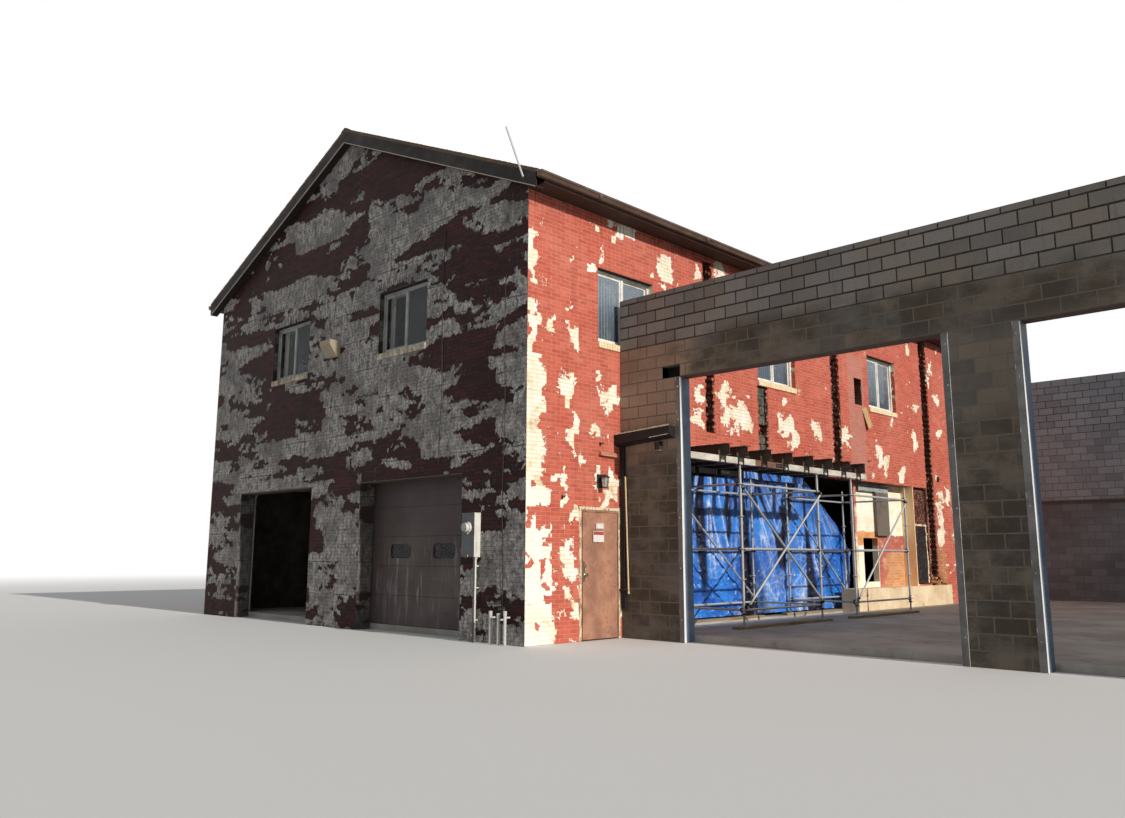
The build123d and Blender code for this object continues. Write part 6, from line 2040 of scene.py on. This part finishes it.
def buildShoring(values):
    rings, heads, jacks, tubes = newHeaps(4)
    rows, tube = values["rows"], values["tube"]
    low, _, high = values["levels"]
    for near, far in values["towers"]:
        for x in rows:
            for y in (near, far):
                for z in values["levels"] + values["between"]:
                    base = Matrix.Translation((x, y, z))
                    addLathe(rings, [(tube, -0.013), (0.031, -0.011), (0.056, -0.0045),
                                     (0.058, 0.0), (0.056, 0.0045), (0.031, 0.011), (tube, 0.013)],
                             base, 20)
                # spigot joint with its pin
                pin = values["spigot"]
                addTube(rings, (x, y, pin - 0.035), (x, y, pin + 0.035), tube + 0.0045, 18)
                addTube(rings, (x - 0.040, y, pin), (x + 0.040, y, pin), 0.0055, 10)
                # screw jack: thread, nut with two handles, plate with turned-up corners
                foot, top = values["jackFoot"], values["jackTop"]
                turns = 14
                for step in range(turns):
                    z = foot + 0.012 + (top - foot - 0.03) * step / turns
                    addLathe(jacks, [(0.0165, 0.0), (0.0192, 0.0035), (0.0165, 0.007)],
                             Matrix.Translation((x, y, z)), 14)
                addLathe(jacks, [(0.024, top - 0.012), (0.034, top - 0.010),
                                 (0.034, top + 0.012), (0.027, top + 0.020), (tube, top + 0.020)],
                         Matrix.Translation((x, y, 0)), 6)
                for way in (-1, 1):
                    addTube(jacks, (x, y + way * 0.030, top + 0.002),
                            (x + 0.012, y + way * 0.105, top - 0.004), 0.0065, 10)
                for dx in (-0.062, 0.062):
                    for dy in (-0.062, 0.062):
                        addLathe(jacks, [(0.008, 0.0), (0.0065, 0.003), (0.003, 0.0095)],
                                 Matrix.Translation((x + dx, y + dy, foot + 0.0005)), 10)
            for z in values["levels"]:
                addCoupler(heads, (x, near + tube, z), (0, 1, 0))
                addCoupler(heads, (x, far - tube, z), (0, -1, 0))
        for y in (near, far):
            for z in values["levels"]:
                if y > 10.35 and z < 0.6:
                    continue
                addCoupler(heads, (rows[1] + tube, y, z), (1, 0, 0))
                addCoupler(heads, (rows[0] - tube, y, z), (-1, 0, 0))
    offset = tube + 0.020
    for group, kept in ((values["braces"], False), (values["extra"], True)):
        for row, tower, rises in group:
            near, far = values["towers"][tower]
            start, end = (low + offset, high - offset) if rises else (high - offset, low + offset)
            x = rows[row] + offset + (0.044 if kept else 0.0)
            a, b = Vector((x, near, start)), Vector((x, far, end))
            if kept:
                addTube(tubes, a, b, 0.020, 16)
            for spot, ahead in ((a, b - a), (b, a - b)):
                spot = spot + ahead.normalized() * 0.012
                addBox(heads, spot + Vector((-0.050 - (0.044 if kept else 0), -0.020, -0.026)),
                       spot + Vector((-0.010, 0.020, 0.026)), 0.4, 0.004)
                addTube(heads, spot, spot + ahead.normalized() * 0.055, 0.0235, 16)
    emit(rings, "scaffoldRosettes", tubeTone)
    emit(heads, "scaffoldWedgeHeads", clampTone)
    emit(jacks, "scaffoldJacks", clampTone)
    emit(tubes, "crossedBrace", tubeTone)
    clamps, bolts, plates = newHeaps(3)
    foot, top, half = values["stringerFoot"], values["stringerTop"], values["half"]
    for x, start, end in values["stringers"]:
        for y in values["needles"]:
            if not start < y < end:
                continue
            for side in (-1, 1):
                # hooked clip from under the beam up to the needle's flange
                place = y + side * 0.078
                for face in (-1, 1):
                    out = x + face * half
                    a, b = sorted((out + face * 0.001, out + face * 0.014))
                    addBox(clamps, (a, place - 0.016, foot - 0.020),
                           (b, place + 0.016, top + 0.026), 0.3, 0.003)
                addBox(clamps, (x - half - 0.014, place - 0.016, foot - 0.030),
                       (x + half + 0.014, place + 0.016, foot - 0.018), 0.3, 0.003)
                addBolt(bolts, (x, place, foot - 0.030), (0, 0, -1), 0.011)
        # splice plates where two lengths of the beam meet
        y = start + 0.45 * (end - start)
        for face in (-1, 1):
            out = x + face * half
            a, b = sorted((out + face * 0.0005, out + face * 0.007))
            addBox(clamps, (a, y - 0.16, foot + 0.018), (b, y + 0.16, top - 0.018), 0.5, 0.002)
            for dy in (-0.12, -0.06, 0.06, 0.12):
                addBolt(bolts, (out + face * 0.007, y + dy, (foot + top) / 2), (face, 0, 0), 0.009)
    for y in values["needles"]:
        # web stiffeners over the posts and at the wall, end plates with drip edges
        for x in values["rows"]:
            for side in (-1, 1):
                a, b = sorted((y + side * 0.004, y + side * 0.056))
                addBox(plates, (x - 0.005, a, 3.082), (x + 0.005, b, 3.258), 0.5, 0.001)
        addBox(plates, (1.316, y - 0.006, 3.086), (1.328, y + 0.006, 3.254), 0.5, 0.001)
    first, pitch, count, height = values["headerBolts"]
    for step in range(count):
        addBolt(bolts, (0.061, first + step * pitch, height), (1, 0, 0), 0.014)
    emit(clamps, "stringerClamps", clampTone)
    emit(bolts, "shoringBolts", boltTone)
    emit(plates, "needleStiffeners", needleTone)
    guards = newHeap()
    for edge, way in values["jambs"]:
        bolt, weld = edge + way * 0.055, edge + way * 0.088
        for z in values["jambBolts"]:
            # flange bolts on the face, and a stitch weld beside each
            addBolt(guards, (bolt, 2.212, z), (0, -1, 0), 0.010)
            addBox(guards, (weld - 0.004, 2.2075, z + 0.10),
                   (weld + 0.004, 2.2135, z + 0.16), 0.5, 0.002)
    emit(guards, "jambBolts", jambTone)


def stringerFinish(name):
    # pale outer beam with one brown length; the inner beam painted near black as shade
    finish = newFinish(name, Metallic=0.1, Roughness=0.55, Specular_IOR_Level=0.2)
    point = cornerPoint()
    parts = split(point)
    cloud = grain(stretched(point, (1, 0.4, 1)), 3.0, 6.0, 0.65)
    outer = veil(tint(226, 220, 206), tint(186, 178, 162), cloud, 0.35, 0.65)
    brown = veil(tint(140, 104, 84), tint(98, 74, 62), cloud, 0.35, 0.65)
    length = times(between(parts[1], 4.57, 4.61), between(parts[1], 5.64, 5.6))
    outer = blend(length, outer, brown)
    # painted shade: the inner beam is near black
    inner = veil(tint(34, 31, 34), tint(22, 20, 24), cloud, 0.35, 0.65)
    colour = blend(isAbove(parts[0], 0.3), inner, outer)
    rust = grain(point, 15.0, 6.0, 0.7)
    colour = veil(colour, tint(112, 74, 52), rust, 0.62, 0.7, 0.6)
    return finished(finish, colour, plus(rust, cloud), 0.0015, 0.6)


stringerTone = stringerFinish("paleBeamShadedInner")
dress(stringerTone, "shoring_stringers")
buildShoring(shoring)
report("shoring fittings")
